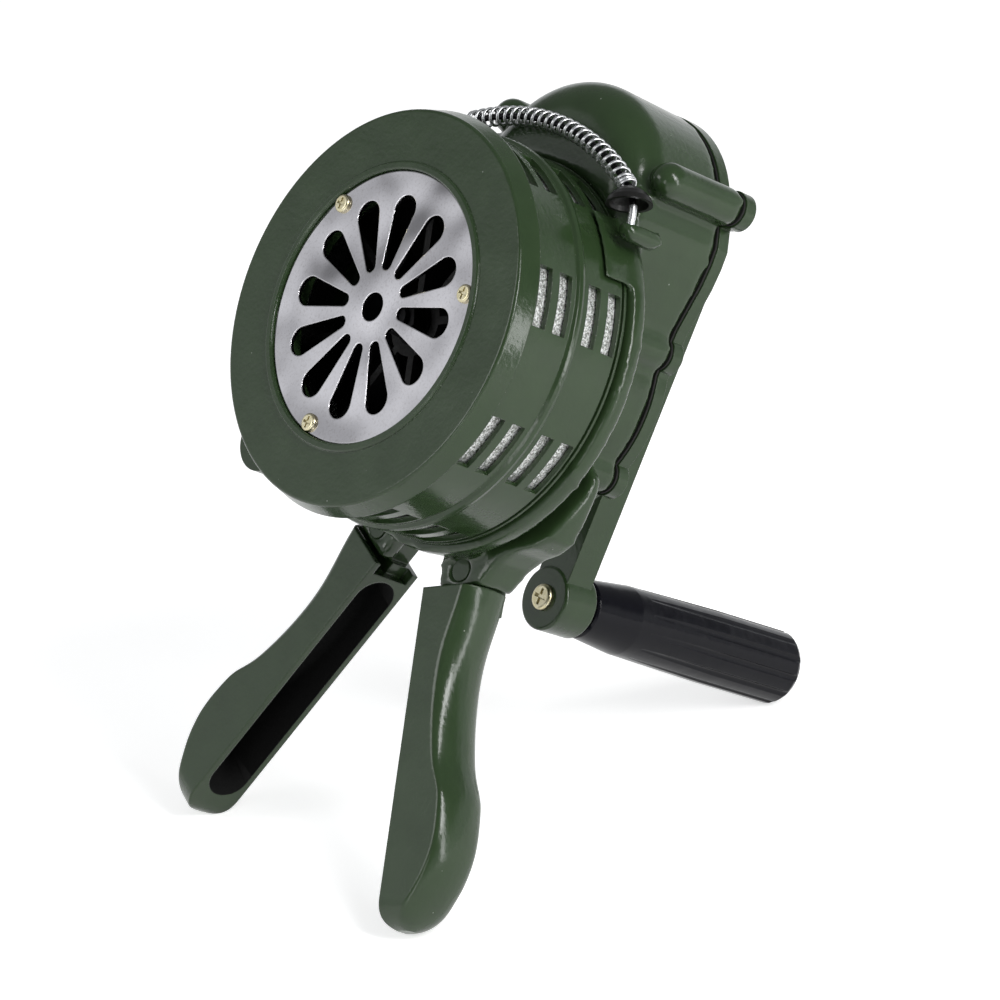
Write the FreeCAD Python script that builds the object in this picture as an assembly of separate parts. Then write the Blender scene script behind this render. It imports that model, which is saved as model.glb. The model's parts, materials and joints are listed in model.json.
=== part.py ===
import FreeCAD, Part
import math
import os

# Hand crank siren, in millimetres. It is modelled with the drum axis along Y, the intake
# facing -Y and the crank hanging down -Z. The whole siren is then tilted about X, so that it
# stands on its two spread legs and the end of its crank grip, with Z up.

V = FreeCAD.Vector
Y_AXIS = V(0, 1, 0)

# Clearances
seat_gap = 0.3           # between loose pieces that lie against each other
run_fit = 0.05           # radial, for a shaft that turns in a bore

# Front cap and intake grille
cap_radius = 75.0
cap_depth = 8.0
cap_front_radius = 73.0   # the rim tapers forward
cap_edge = 1.2
lip_width = 3.0
lip_height = 1.0
grille_radius = 50.0
grille_thick = 1.5
grille_recess = 0.6
grille_ledge = 6.0       # how far the cap reaches in under the grille
petal_count = 12
petal_inner = 16.0       # where the small end of a petal is centred
petal_inner_radius = 2.4
petal_outer = 36.0
petal_outer_radius = 5.5
petal_phase = 7.0
hub_hole_radius = 5.3
grille_screw_circle = 46.9
grille_screw_angles = (22.0, 142.0, 262.0)
small_screw_radius = 1.5
small_head_radius = 3.4
small_head_height = 1.5

# Stator drum
drum_radius = 72.0
drum_wall = 2.2
drum_step = 1.0          # the narrow front end that the cap sits on
drum_start = 9.0
flange_front = 55.0
slot_starts = (11.1, 20.9, 35.3, 45.2)
slot_width = 6.1
slot_groups = 8
slot_half_angle = 8.85
slot_phase = 22.5
ridge_centre = 31.0
ridge_half = 2.2
ridge_height = 1.5
groove_depth = 1.2
groove_width = 0.9
groove_lip = 1.1
ledge_inner = 60.0
ledge_thick = 2.7
drum_screw_circle = 65.2
drum_screw_angles = (18.0, 162.0, 205.0, 270.0, 345.0)
drum_ear_circle = 78.6   # the fixing ear low on the drum's left
drum_ear_angle = 230.0
drum_ear_radius = 12.5
drum_ear_hole = 3.0
drum_ear_front = 20.0
drum_ear_thick = 6.0

# Rotor
rotor_gap = 0.7
rotor_wall = 3.0
rotor_front = 11.5
rotor_back_gap = 3.4
rotor_web = 3.0
rotor_hub_radius = 12.0
rotor_hub_front = 22.0
vane_thick = 3.0
vane_inner = 10.0
shaft_radius = 4.0
shaft_end_radius = 2.5

# Gearbox housing
flange_radius = 75.0
flange_depth = 7.5
housing_end = 97.3
wall = 3.2
lobe_radius = 45.5       # upper lobe, round the crank axis
lobe_back_radius = 44.2  # it narrows towards the cover
crank_height = 61.0
dome_front = 53.0
dome_round = 14.0
body_radius = 47.7       # lower lobe, round the drum axis
waist = ((44.0, 74.0), (47.3, 66.5), (47.8, 60.0), (47.5, 52.0), (46.2, 43.5),
         (44.8, 34.0), (44.8, 0.0))
column_radius = 7.0
columns = ((46.0, 81.5), (41.0, 24.0), (40.0, -24.0))
column_screw_radius = 1.7
column_screw_depth = 16.0
upper_column_front = 58.0
gasket_thick = 0.8
gasket_inset = 0.7
cover_thick = 4.9
cover_hub_radius = 17.0
cover_hub_height = 14.0

# Gears: crank gear to layshaft pinion, then layshaft gear to rotor pinion
pressure_angle = 25.0
first_module = 1.0
crank_teeth = 78
lay_pinion_teeth = 12
second_module = 0.8
lay_gear_teeth = 50
rotor_teeth = 12
backlash = 0.22
first_plane = 84.0
first_width = 8.0
second_plane = 74.0
second_width = 6.0
lay_shaft_radius = 3.0
bush_wall = 2.0
bearing_radius = 11.0
bearing_width = 7.0
bearing_boss_wall = 3.5

# Crank and grip
crank_shaft_radius = 6.0
crank_seat_half = 4.0    # the shaft's square end
crank_screw_radius = 2.5
crank_screw_head = 4.3
crank_sink_radius = 7.6
crank_sink_depth = 5.0
crank_reach = 136.7      # from the shaft to the grip's axis
crank_rake = 2.3
arm_thick = 12.0
arm_hub_radius = 10.0
arm_hub_half = 9.0
arm_end_half = 8.5
arm_front = 125.5
boss_radius = 12.2
boss_depth = 16.0
thrust_thick = 1.5
spindle_radius = 4.0
spindle_head_radius = 5.0
spindle_head_height = 2.0
grip_length = 107.0
grip_root_radius = 11.2
grip_radius = 14.2
flute_count = 12
flute_radius = 1.6
flute_start = 27.0

# Legs, in a leg's own plane: w outward from its flat inner face, s down along it
leg_spread = 22.5
leg_top_x = 13.7
leg_top_z = -84.0
leg_front = 61.3
leg_depth = 21.6
leg_wall = 2.6
leg_shell = 3.5
leg_length = 126.0
leg_recess_end = 6.6     # the recess that the ear swings in
leg_channel_start = 8.6
leg_channel_end = 115.0
# Along the leg: s, inner and outer w, and how far the outer side bulges past its corners
leg_stations = ((2.0, 0.0, 24.8, 5.5), (9.0, 0.0, 23.6, 6.0), (18.0, 0.0, 21.4, 6.5),
                (27.0, 0.0, 19.4, 6.5), (38.0, 0.0, 18.4, 6.0), (50.0, 0.0, 18.9, 5.5),
                (60.0, 0.0, 20.2, 5.0), (67.0, 0.0, 21.7, 4.5), (72.0, 0.0, 23.5, 4.0),
                (77.0, 0.0, 25.3, 3.5), (83.0, 0.0, 26.3, 3.5), (90.0, 0.0, 26.7, 3.5),
                (97.0, 0.0, 26.2, 3.5), (103.0, 0.0, 25.0, 4.0), (108.8, 0.0, 22.8, 4.5),
                (113.8, 0.0, 20.0, 5.0), (118.3, 0.0, 16.9, 5.0), (121.8, 0.2, 14.0, 4.5),
                (124.3, 1.2, 11.2, 4.0), (125.7, 2.6, 9.0, 3.0))
leg_top_width = 25.0
leg_top = 2.0
leg_tip_round = 10.4
leg_edge_round = 0.4     # along the edges of the flat side
pin_w = 14.5
pin_s = -4.5
pin_radius = 3.0
pin_head_radius = 4.2
pin_head_height = 1.2
ear_front = 64.5
ear_thick = 7.5
ear_flank = 3.2
ear_inner = 3.5
ear_bottom = 1.7
ear_recess = 1.6
bracket_back = 82.0
bracket_slope_top = (76.5, -29.0)   # y and z where the arm's front has leaned back
bracket_outline = ((58.0, -25.0), (59.0, -32.0), (58.8, -42.0), (57.5, -51.0),
                   (53.0, -56.0), (47.0, -60.0), (42.0, -66.0))
tongue_radius = 7.5

# Carry handle, a spring over a cable
handle_y = 48.0
handle_top = 85.0
handle_arch_radius = 103.5
handle_arch_half = 26.4
handle_bend_radius = 16.0
handle_end_angle = 75.0
handle_drop = 9.0
spring_radius = 3.15     # to the middle of its wire
spring_wire = 0.6        # its radius
spring_turns = 28
spring_lead_turns = 0.25 # straight at each end
cable_radius = 1.3
cup_radius = 8.5
cup_height = 5.8
cup_lean = 62.0          # its axis, below the horizontal
cup_play = 1.0           # round the cable
cup_start = 1.68         # past the arch's end, so that the spring rests on it
ferrule_radius = 2.4
lug_front = 41.5
lug_gap = 0.6
lug_thick = 1.8
lug_angles = (34.5, 58.0)
lug_boss_radius = 4.3
lug_boss_drop = 1.5      # how far below the bend the boss starts
lug_boss_length = 2.5

# Places that follow from the sizes above
drum_inner = drum_radius - drum_wall
rotor_radius = drum_inner - rotor_gap
flange_back = flange_front + flange_depth
cover_front = housing_end + gasket_thick
cover_back = cover_front + cover_thick
hub_back = cover_back + cover_hub_height
first_distance = first_module * (crank_teeth + lay_pinion_teeth) / 2
second_distance = second_module * (lay_gear_teeth + rotor_teeth) / 2
lay_z = (crank_height ** 2 - first_distance ** 2 + second_distance ** 2) / (2 * crank_height)
lay_x = -math.sqrt(second_distance ** 2 - lay_z ** 2)
bearing_front = flange_front + 1.0
bearing_back = bearing_front + 2 * bearing_width


def cylinder(radius, y0, y1, x=0.0, z=0.0):
    return Part.makeCylinder(radius, y1 - y0, V(x, y0, z), Y_AXIS)


def ring(outer, inner, y0, y1, x=0.0, z=0.0):
    return cylinder(outer, y0, y1, x, z).cut(cylinder(inner, y0 - 1, y1 + 1, x, z))


def box(x0, x1, y0, y1, z0, z1):
    return Part.makeBox(x1 - x0, y1 - y0, z1 - z0, V(x0, y0, z0))


def fuse(shapes):
    return shapes[0].multiFuse(shapes[1:]).removeSplitter()


def turned(points):
    """A solid of revolution about the drum axis from points of radius and y."""
    wire = Part.makePolygon([V(r, y, 0) for r, y in points + points[:1]])
    return Part.Face(wire).revolve(V(0, 0, 0), Y_AXIS, 360)


def prism(points, y0, y1):
    """A flat outline of x and z points, extruded along Y."""
    wire = Part.makePolygon([V(x, y0, z) for x, z in points + points[:1]])
    return Part.Face(wire).extrude(V(0, y1 - y0, 0))


def polar(radius, degrees):
    angle = math.radians(degrees)
    return radius * math.cos(angle), radius * math.sin(angle)


def mirrored(shape):
    return shape.mirror(V(0, 0, 0), V(1, 0, 0))


def sector(inner, outer, y0, y1, first, last):
    """Part of a ring between two angles, measured from +X towards +Z."""
    arc = ring(outer, inner, y0, y1)
    reach = 2 * outer
    middle = (first + last) / 2
    wedge = [(0.0, 0.0), polar(reach, first), polar(reach, middle), polar(reach, last)]
    return arc.common(prism(wedge, y0, y1))


def hexagon(across, y0, y1, bore, x=0.0, z=0.0):
    corner = across / math.sqrt(3)
    points = [(x + dx, z + dz) for dx, dz in (polar(corner, 60 * i) for i in range(6))]
    return prism(points, y0, y1).cut(cylinder(bore, y0 - 1, y1 + 1, x, z))


def cross_recess(radius, depth, y, x, z, forward=True):
    """The cross slot of a screw head whose outer face lies at y."""
    y0 = y - 1 if forward else y - depth
    arm = radius * 0.62
    half = radius * 0.13
    return box(x - arm, x + arm, y0, y0 + depth + 1, z - half, z + half).fuse(
        box(x - half, x + half, y0, y0 + depth + 1, z - arm, z + arm))


def pan_screw(radius, head_radius, head_height, y_seat, length, x, z, forward=True):
    """A cross-head screw along Y. Its head lies before y_seat, or behind it."""
    side = -1 if forward else 1
    y_top = y_seat + side * head_height
    shank_end = y_seat - side * length
    head = cylinder(head_radius, min(y_seat, y_top), max(y_seat, y_top), x, z)
    rim = [e for e in head.Edges if abs(e.BoundBox.YMin - y_top) < 0.01
           and abs(e.BoundBox.YMax - y_top) < 0.01]
    head = head.makeFillet(head_height * 0.6, rim)
    shank = cylinder(radius, min(y_seat, shank_end), max(y_seat, shank_end), x, z)
    screw = head.fuse(shank)
    return screw.cut(cross_recess(head_radius, head_height * 0.5, y_top, x, z, forward))


# Front cap, grille and drum

def drum_screw_places():
    return [polar(drum_screw_circle, a) for a in drum_screw_angles]


def front_cap():
    throat = grille_radius - grille_ledge
    pocket = grille_radius + 0.4
    floor = grille_recess + grille_thick
    lip_outer = pocket + lip_width
    spigot = drum_inner - 0.1
    edge = [(cap_front_radius - cap_edge * (1 - math.sin(a)), cap_edge * (1 - math.cos(a)))
            for a in (math.radians(d) for d in (0, 18, 36, 54, 72, 90))]
    body = turned([(throat, floor), (pocket, floor), (pocket, -lip_height + 0.5),
                   (pocket + 0.5, -lip_height), (lip_outer - 0.6, -lip_height),
                   (lip_outer, -lip_height + 0.6), (lip_outer, 0.0)] + edge
                  + [(cap_radius, cap_depth), (spigot, cap_depth), (spigot, cap_depth + 2.2),
                     (spigot - 3.5, cap_depth + 2.2), (spigot - 3.5, floor + 1.6),
                     (throat + 4, floor + 1.6), (throat + 4, cap_depth), (throat, cap_depth)])
    for angle in grille_screw_angles:
        x, z = polar(grille_screw_circle, angle)
        body = body.fuse(cylinder(3.5, floor, cap_depth, x, z))
    holes = [cylinder(small_screw_radius, floor - 1, cap_depth - 1, *polar(grille_screw_circle, a))
             for a in grille_screw_angles]
    return body.cut(Part.makeCompound(holes))


def petal(angle):
    """A teardrop hole: the hull of a small inner circle and a larger outer one."""
    y0, y1 = 0.0, 2 * grille_thick + grille_recess
    spread = math.asin((petal_outer_radius - petal_inner_radius) / (petal_outer - petal_inner))
    side = math.cos(spread)
    lean = math.sin(spread)
    hull = [(petal_inner - petal_inner_radius * lean, petal_inner_radius * side),
            (petal_outer - petal_outer_radius * lean, petal_outer_radius * side),
            (petal_outer - petal_outer_radius * lean, -petal_outer_radius * side),
            (petal_inner - petal_inner_radius * lean, -petal_inner_radius * side)]
    tool = prism(hull, y0, y1).fuse(cylinder(petal_inner_radius, y0, y1, petal_inner))
    tool = tool.fuse(cylinder(petal_outer_radius, y0, y1, petal_outer)).removeSplitter()
    tool.rotate(V(0, 0, 0), Y_AXIS, -angle)
    return tool


def intake_grille():
    plate = cylinder(grille_radius, grille_recess, grille_recess + grille_thick)
    holes = [petal(petal_phase + 360 / petal_count * i) for i in range(petal_count)]
    holes.append(cylinder(hub_hole_radius, 0, 4))
    holes += [cylinder(small_screw_radius, 0, 4, *polar(grille_screw_circle, a))
              for a in grille_screw_angles]
    return plate.cut(Part.makeCompound(holes))


def grille_screws():
    length = cap_depth - 1 - grille_recess
    return Part.makeCompound([
        pan_screw(small_screw_radius, small_head_radius, small_head_height, grille_recess,
                  length, *polar(grille_screw_circle, a)) for a in grille_screw_angles])


def drum_ear():
    """A flat ear with a round end and a hole, drawn on +X and then turned to its place."""
    back = drum_ear_front + drum_ear_thick
    half = drum_ear_radius
    plate = cylinder(half, drum_ear_front, back, drum_ear_circle)
    plate = plate.fuse(box(drum_ear_circle - half, drum_ear_circle, drum_ear_front, back,
                           -half, half))
    plate = plate.cut(cylinder(drum_inner + 0.5, 0, flange_front))
    plate = plate.cut(cylinder(drum_ear_hole, drum_ear_front - 1, back + 1, drum_ear_circle))
    plate.rotate(V(0, 0, 0), Y_AXIS, -drum_ear_angle)
    return plate


def stator_drum():
    outer = drum_radius
    low = outer - groove_depth
    groove_end = flange_front - groove_width
    lip_start = groove_end - groove_lip
    groove_start = lip_start - groove_width
    ridge = [(outer, ridge_centre - ridge_half), (outer + ridge_height * 0.75, ridge_centre - 1.3),
             (outer + ridge_height, ridge_centre), (outer + ridge_height * 0.75, ridge_centre + 1.3),
             (outer, ridge_centre + ridge_half)]
    ledge = flange_front - ledge_thick
    neck = outer - drum_step
    shell = turned([(drum_inner, cap_depth), (neck, cap_depth), (neck, drum_start),
                    (outer, drum_start)] + ridge
                   + [(outer, groove_start), (low, groove_start), (low, lip_start),
                      (outer + 0.3, lip_start), (outer + 0.3, groove_end), (low, groove_end),
                      (low, flange_front), (ledge_inner, flange_front), (ledge_inner, ledge),
                      (drum_inner, ledge)])
    tools = []
    for i in range(slot_groups):
        middle = slot_phase + 360 / slot_groups * i
        for start in slot_starts:
            tools.append(sector(drum_inner - 2, outer + 4, start, start + slot_width,
                                middle - slot_half_angle, middle + slot_half_angle))
    tools += [cylinder(small_screw_radius, 0, flange_front + 1, x, z)
              for x, z in drum_screw_places()]
    return fuse([shell, drum_ear()]).cut(Part.makeCompound(tools))


def drum_screws():
    length = flange_depth + ledge_thick
    return Part.makeCompound([
        pan_screw(small_screw_radius, 2.9, 2.6, flange_back, length, x, z, False)
        for x, z in drum_screw_places()])


# Rotor

def rotor():
    back = flange_front - rotor_back_gap
    inner = rotor_radius - rotor_wall
    shell = ring(rotor_radius, inner, rotor_front, back)
    web = ring(inner + 0.5, shaft_radius, back - rotor_web, back)
    hub = ring(rotor_hub_radius, shaft_radius, rotor_hub_front, back)
    step = 360 / slot_groups
    vanes = []
    for i in range(slot_groups):
        vane = box(vane_inner, inner + 0.5, rotor_hub_front, back - 0.5,
                   -vane_thick / 2, vane_thick / 2)
        vane.rotate(V(0, 0, 0), Y_AXIS, -(slot_phase + step * i))
        vanes.append(vane)
    body = fuse([shell, web, hub] + vanes)
    ports = []
    for i in range(slot_groups):
        middle = slot_phase + step * (i + 0.5)
        for first, last in ((slot_starts[0], slot_starts[1]), (slot_starts[2], slot_starts[3])):
            top = min(last + slot_width, back - rotor_web - 0.8)
            ports.append(sector(inner - 2, rotor_radius + 2, first + 2, top,
                                middle - slot_half_angle, middle + slot_half_angle))
    bore = cylinder(shaft_radius, 0, flange_front)
    return body.cut(Part.makeCompound(ports + [bore]))


def rotor_shaft():
    collar = cylinder(shaft_radius + 1.5, flange_front - rotor_back_gap, bearing_front)
    end = second_plane + second_width + 2
    return fuse([cylinder(shaft_radius, rotor_hub_front - 9, second_plane - 1), collar,
                 cylinder(shaft_end_radius, second_plane - 2, end)])


def rotor_washer():
    return ring(8.0, shaft_radius, rotor_hub_front - 1.2, rotor_hub_front)


def rotor_nut():
    top = rotor_hub_front - 1.2
    return hexagon(13.0, top - 6.0, top, shaft_radius)


def rotor_bearings():
    bore = shaft_radius + run_fit
    return Part.makeCompound([ring(bearing_radius, bore, bearing_front + bearing_width * i,
                                   bearing_front + bearing_width * (i + 1) - 0.2 * (1 - i))
                              for i in range(2)])


# Gears

def involute(angle):
    return math.tan(angle) - angle


def gear_outline(module, teeth, phase, x, z, addendum=0.9):
    """Tooth corners round a spur gear with a tooth centred on phase, in degrees."""
    pitch = module * teeth / 2
    base = pitch * math.cos(math.radians(pressure_angle))
    tip = pitch + addendum * module
    root = pitch - 1.2 * module
    half_pitch = (math.pi / 2 - backlash / module) / teeth
    at_pitch = involute(math.radians(pressure_angle))

    def half_width(radius):
        flank = math.acos(min(1.0, base / radius))
        return half_pitch + at_pitch - involute(flank)

    start = max(root, base)
    radii = [start, (start + pitch) / 2 if start < pitch else pitch, pitch,
             (pitch + tip) / 2, tip]
    points = []
    for i in range(teeth):
        middle = math.radians(phase) + 2 * math.pi * i / teeth
        side = [(root, half_width(start) * 1.02)] + [(r, half_width(r)) for r in radii]
        for r, half in side:
            points.append((x + r * math.cos(middle - half), z + r * math.sin(middle - half)))
        for r, half in reversed(side):
            points.append((x + r * math.cos(middle + half), z + r * math.sin(middle + half)))
    return points


def gear(module, teeth, phase, y0, width, x, z, bore):
    blank = prism(gear_outline(module, teeth, phase, x, z), y0, y0 + width)
    return blank.cut(cylinder(bore, y0 - 1, y0 + width + 1, x, z))


def towards(x0, z0, x1, z1):
    return math.degrees(math.atan2(z1 - z0, x1 - x0))


def crank_gear():
    facing = towards(0, crank_height, lay_x, lay_z)
    wheel = gear(first_module, crank_teeth, facing, first_plane, first_width,
                 0, crank_height, crank_shaft_radius)
    rim_inner = first_module * crank_teeth / 2 - 6
    recess = ring(rim_inner, 14.0, first_plane - 1, first_plane + 2.5, 0, crank_height)
    holes = [cylinder(5.0, first_plane, first_plane + first_width + 1,
                      dx, crank_height + dz) for dx, dz in (polar(23.0, 60 * i) for i in range(6))]
    hub = ring(12.0, crank_shaft_radius, first_plane - 3.5, first_plane, 0, crank_height)
    wheel = wheel.cut(Part.makeCompound([recess] + holes)).fuse(hub).removeSplitter()
    return wheel.cut(crank_key())


def layshaft_pinion():
    facing = towards(0, crank_height, lay_x, lay_z)
    return gear(first_module, lay_pinion_teeth, facing + 180 + 180 / lay_pinion_teeth,
                first_plane - 1, first_width + 2, lay_x, lay_z, lay_shaft_radius)


def layshaft_gear():
    facing = towards(lay_x, lay_z, 0, 0)
    wheel = gear(second_module, lay_gear_teeth, facing, second_plane, second_width,
                 lay_x, lay_z, lay_shaft_radius)
    hub = ring(7.0, lay_shaft_radius, second_plane - 3.0, second_plane, lay_x, lay_z)
    return wheel.fuse(hub).removeSplitter()


def rotor_pinion():
    facing = towards(lay_x, lay_z, 0, 0)
    return gear(second_module, rotor_teeth, facing + 180 + 180 / rotor_teeth,
                second_plane - 1, second_width + 2, 0, 0, shaft_end_radius)


def lay_front():
    return flange_front + 3.0


def lay_back():
    return cover_front + 1.5


def layshaft():
    return cylinder(lay_shaft_radius, lay_front() + seat_gap, lay_back() - seat_gap, lay_x, lay_z)


def layshaft_spacer():
    """The sleeve that holds the layshaft's gear and pinion apart."""
    return ring(lay_shaft_radius + 2, lay_shaft_radius, second_plane + second_width,
                first_plane - 1, lay_x, lay_z)


def layshaft_bushes():
    bore = lay_shaft_radius + run_fit
    outer = lay_shaft_radius + bush_wall
    return Part.makeCompound([
        ring(outer, bore, lay_front(), flange_back + 3.5, lay_x, lay_z),
        ring(outer, bore, first_plane + first_width + 2.0, lay_back(), lay_x, lay_z)])


# Gearbox housing and cover

def waist_solid(y0, y1, grow):
    half = [(x + grow, z) for x, z in waist]
    return prism(half + [(-x, z) for x, z in reversed(half)], y0, y1)


def outline_solid(y0, y1, grow):
    """The gearbox's outline, two lobes, a waist and screw columns, extruded along Y."""
    pieces = [cylinder(lobe_back_radius + grow, y0, y1, 0, crank_height),
              cylinder(body_radius + grow, y0, y1), waist_solid(y0, y1, grow)]
    for x, z in columns:
        for side in (-1, 1):
            radius = column_radius + grow
            pieces.append(cylinder(radius, y0, y1, side * x, z))
            pieces.append(prism([(side * x, z + radius), (side * x, z - radius),
                                 (0, z / 2 + crank_height / 3)], y0, y1))
    return fuse(pieces)


def dome():
    shape = Part.makeCone(lobe_radius, lobe_back_radius, housing_end - dome_front,
                          V(0, dome_front, crank_height), Y_AXIS)
    rim = [e for e in shape.Edges if e.BoundBox.YMax < dome_front + 0.01]
    return shape.makeFillet(dome_round, rim)


def upper_columns():
    x, z = columns[0]
    shapes = []
    for side in (-1, 1):
        front = upper_column_front + column_radius
        shapes.append(cylinder(column_radius, front, housing_end, side * x, z))
        shapes.append(Part.makeSphere(column_radius, V(side * x, front, z)))
        web = prism([(side * x, z + column_radius), (side * x, z - column_radius),
                     (0, crank_height)], front, housing_end)
        shapes.append(web)
    return shapes


def lower_body():
    pieces = [cylinder(body_radius, flange_front, housing_end),
              waist_solid(flange_front + 1, housing_end, 0.0)]
    for x, z in columns[1:]:
        for side in (-1, 1):
            pieces.append(cylinder(column_radius, flange_front, housing_end, side * x, z))
            pieces.append(prism([(side * x, z + column_radius), (side * x, z - column_radius),
                                 (0, z / 2)], flange_front, housing_end))
    return pieces


def cavity():
    back = housing_end + 1
    upper_front = dome_front + 11.0
    inner_lobe = lobe_radius - wall - 1
    return fuse([cylinder(inner_lobe, upper_front, back, 0, crank_height),
                 cylinder(body_radius - wall, flange_back, back),
                 waist_solid(upper_front, back, -wall - 2)])


def leg_point(w, s):
    """A point of the right leg's plane, as x and z in the siren's frame."""
    a = math.radians(leg_spread)
    return (leg_top_x + w * math.cos(a) + s * math.sin(a),
            leg_top_z + w * math.sin(a) - s * math.cos(a))


def side_prism(points, x0, x1):
    """A flat outline of y and z points, extruded along X."""
    wire = Part.makePolygon([V(x0, y, z) for y, z in points + points[:1]])
    return Part.Face(wire).extrude(V(x1 - x0, 0, 0))


def ear_arm():
    """The right arm of the leg bracket, down to the ear that holds the leg's pin."""
    corner = leg_point(leg_top_width + 0.5, ear_bottom)
    inner = leg_point(ear_inner, ear_bottom)
    outline = list(bracket_outline) + [corner, inner, leg_point(ear_inner, -14.0),
                                       (10.0, -60.0), (20.0, -40.0), (40.0, -15.0)]
    arm = prism(outline, ear_front, bracket_back)
    slope_y, slope_z = bracket_slope_top
    front = side_prism([(ear_front - 1, -60.0), (ear_front, -60.0), (slope_y, slope_z),
                        (slope_y, -10.0), (ear_front - 1, -10.0)], 0.0, 2 * leg_top_width + 20)
    ear_back = ear_front + ear_thick
    pin_x, pin_z = leg_point(pin_w, pin_s)
    sweep = tongue_radius + 1.8
    reach = math.hypot(pin_w, leg_top - pin_s) + 0.6
    inside = prism([leg_point(pin_w, 2 * reach), leg_point(pin_w, -2 * reach),
                    leg_point(-reach, -2 * reach), leg_point(-reach, 2 * reach)],
                   ear_back, bracket_back + 1)
    swing = cylinder(reach, ear_back, bracket_back + 1, pin_x, pin_z).common(inside)
    below = prism([leg_point(-5.0, -1.0 - tongue_radius), leg_point(leg_top_width + 0.5
                   - ear_flank, -1.0 - tongue_radius), leg_point(leg_top_width + 0.5
                   - ear_flank, 5.0), leg_point(-5.0, 5.0)], ear_back, bracket_back + 1)
    arm = arm.cut(Part.makeCompound([front])).cut(swing).cut(below)
    arm = arm.cut(cylinder(sweep, ear_back, bracket_back + 1, pin_x, pin_z))
    root = prism([(12.0, -60.0), (16.0, -73.0), (34.0, -66.0), (30.0, -52.0)],
                 flange_front + 1, ear_front + 1)
    return fuse([arm, root])


def handle_lug():
    """The right lug over the drum's rear rows, with the boss that holds the handle's end."""
    inner = drum_radius + lug_gap
    pad = sector(inner, inner + lug_thick, lug_front, flange_front + 1, *lug_angles)
    end, heading = handle_point(1.0)
    top = end + heading * lug_boss_drop
    foot = top + heading * lug_boss_length
    across = V(heading.z, 0, -heading.x) * lug_boss_radius
    boss = Part.makeCylinder(lug_boss_radius, lug_boss_length, top, heading)
    boss = boss.fuse(Part.makeSphere(lug_boss_radius, foot))
    web = prism([(c.x, c.z) for c in (top + across, top - across, foot - across,
                                      foot + across)], handle_y, flange_back - 1)
    web = web.fuse(cylinder(lug_boss_radius, handle_y, flange_back - 1, foot.x, foot.z))
    above = Part.makeCylinder(3 * lug_boss_radius, 3 * lug_boss_radius, top, heading * -1)
    drum_room = cylinder(inner, lug_front - 20, flange_front)
    return fuse([pad, boss.fuse(web).cut(above).cut(drum_room)])


def gearbox_housing():
    arm = ear_arm()
    lug = handle_lug()
    body = fuse([cylinder(flange_radius, flange_front, flange_back), dome()] + upper_columns()
                + lower_body() + [arm, mirrored(arm), lug, mirrored(lug)])
    bearing_boss = cylinder(bearing_radius + bearing_boss_wall, flange_front, bearing_back + 1)
    crank_boss = cylinder(crank_shaft_radius + bush_wall + 3, dome_front + 5, second_plane,
                          0, crank_height)
    lay_boss = cylinder(lay_shaft_radius + bush_wall + 3, flange_front + 1, flange_back + 3.5,
                        lay_x, lay_z)
    body = body.cut(cavity())
    body = fuse([body, bearing_boss, crank_boss, lay_boss])
    pin_x, pin_z = leg_point(pin_w, pin_s)
    tools = [cylinder(bearing_radius, bearing_front, bearing_back + 2),
             cylinder(shaft_radius + 2.5, flange_front - 1, bearing_front + 1),
             cylinder(crank_shaft_radius + bush_wall, crank_front(), second_plane + 1,
                      0, crank_height),
             cylinder(lay_shaft_radius + bush_wall, lay_front(), flange_back + 4, lay_x, lay_z),
             cylinder(drum_radius + lug_gap, dome_front - 5, flange_front)]
    for side in (-1, 1):
        tools.append(cylinder(pin_radius, ear_front - 1, ear_front + ear_thick + 1,
                              side * pin_x, pin_z))
        tools.append(cylinder(pin_head_radius, ear_front - 1, ear_front + ear_recess,
                              side * pin_x, pin_z))
        for x, z in columns:
            tools.append(cylinder(column_screw_radius, housing_end - column_screw_depth,
                                  housing_end + 1, side * x, z))
        tools.append(handle_bore(side))
    tools += [cylinder(small_screw_radius, flange_front - 1, flange_back + 1, x, z)
              for x, z in drum_screw_places()]
    return body.cut(Part.makeCompound(tools))


def cover_gasket():
    sheet = outline_solid(housing_end, cover_front, -gasket_inset)
    inner = fuse([cylinder(lobe_radius - wall - 1, housing_end - 1, cover_front + 1, 0,
                           crank_height),
                  cylinder(body_radius - wall, housing_end - 1, cover_front + 1),
                  waist_solid(housing_end - 1, cover_front + 1, -wall - 2)])
    holes = [cylinder(column_screw_radius, housing_end - 1, cover_front + 1, side * x, z)
             for side in (-1, 1) for x, z in columns]
    return sheet.cut(inner).cut(Part.makeCompound(holes))


def crank_front():
    return dome_front + 8.0


def gearbox_cover():
    plate = outline_solid(cover_front, cover_back, 0.0)
    hub = cylinder(cover_hub_radius, cover_front, hub_back, 0, crank_height)
    rim = [e for e in hub.Edges if e.BoundBox.YMin > hub_back - 0.01]
    hub = hub.makeFillet(4.0, rim)
    boss_front = first_plane + first_width + 2.0
    crank_boss = cylinder(crank_shaft_radius + bush_wall + 3, boss_front + 1, cover_front + 1,
                          0, crank_height)
    lay_boss = cylinder(lay_shaft_radius + bush_wall + 3, boss_front, cover_front + 1,
                        lay_x, lay_z)
    body = fuse([plate, hub, crank_boss, lay_boss])
    tools = [cylinder(crank_shaft_radius + bush_wall, boss_front, hub_back + 1, 0, crank_height),
             cylinder(lay_shaft_radius + bush_wall, boss_front - 1, lay_back(), lay_x, lay_z)]
    tools += [cylinder(column_screw_radius, cover_front - 1, cover_back + 1, side * x, z)
              for side in (-1, 1) for x, z in columns]
    return body.cut(Part.makeCompound(tools))


def cover_screws():
    length = cover_back - (housing_end - column_screw_depth)
    return Part.makeCompound([
        pan_screw(column_screw_radius, 3.6, 2.6, cover_back, length, side * x, z, False)
        for side in (-1, 1) for x, z in columns])


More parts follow.
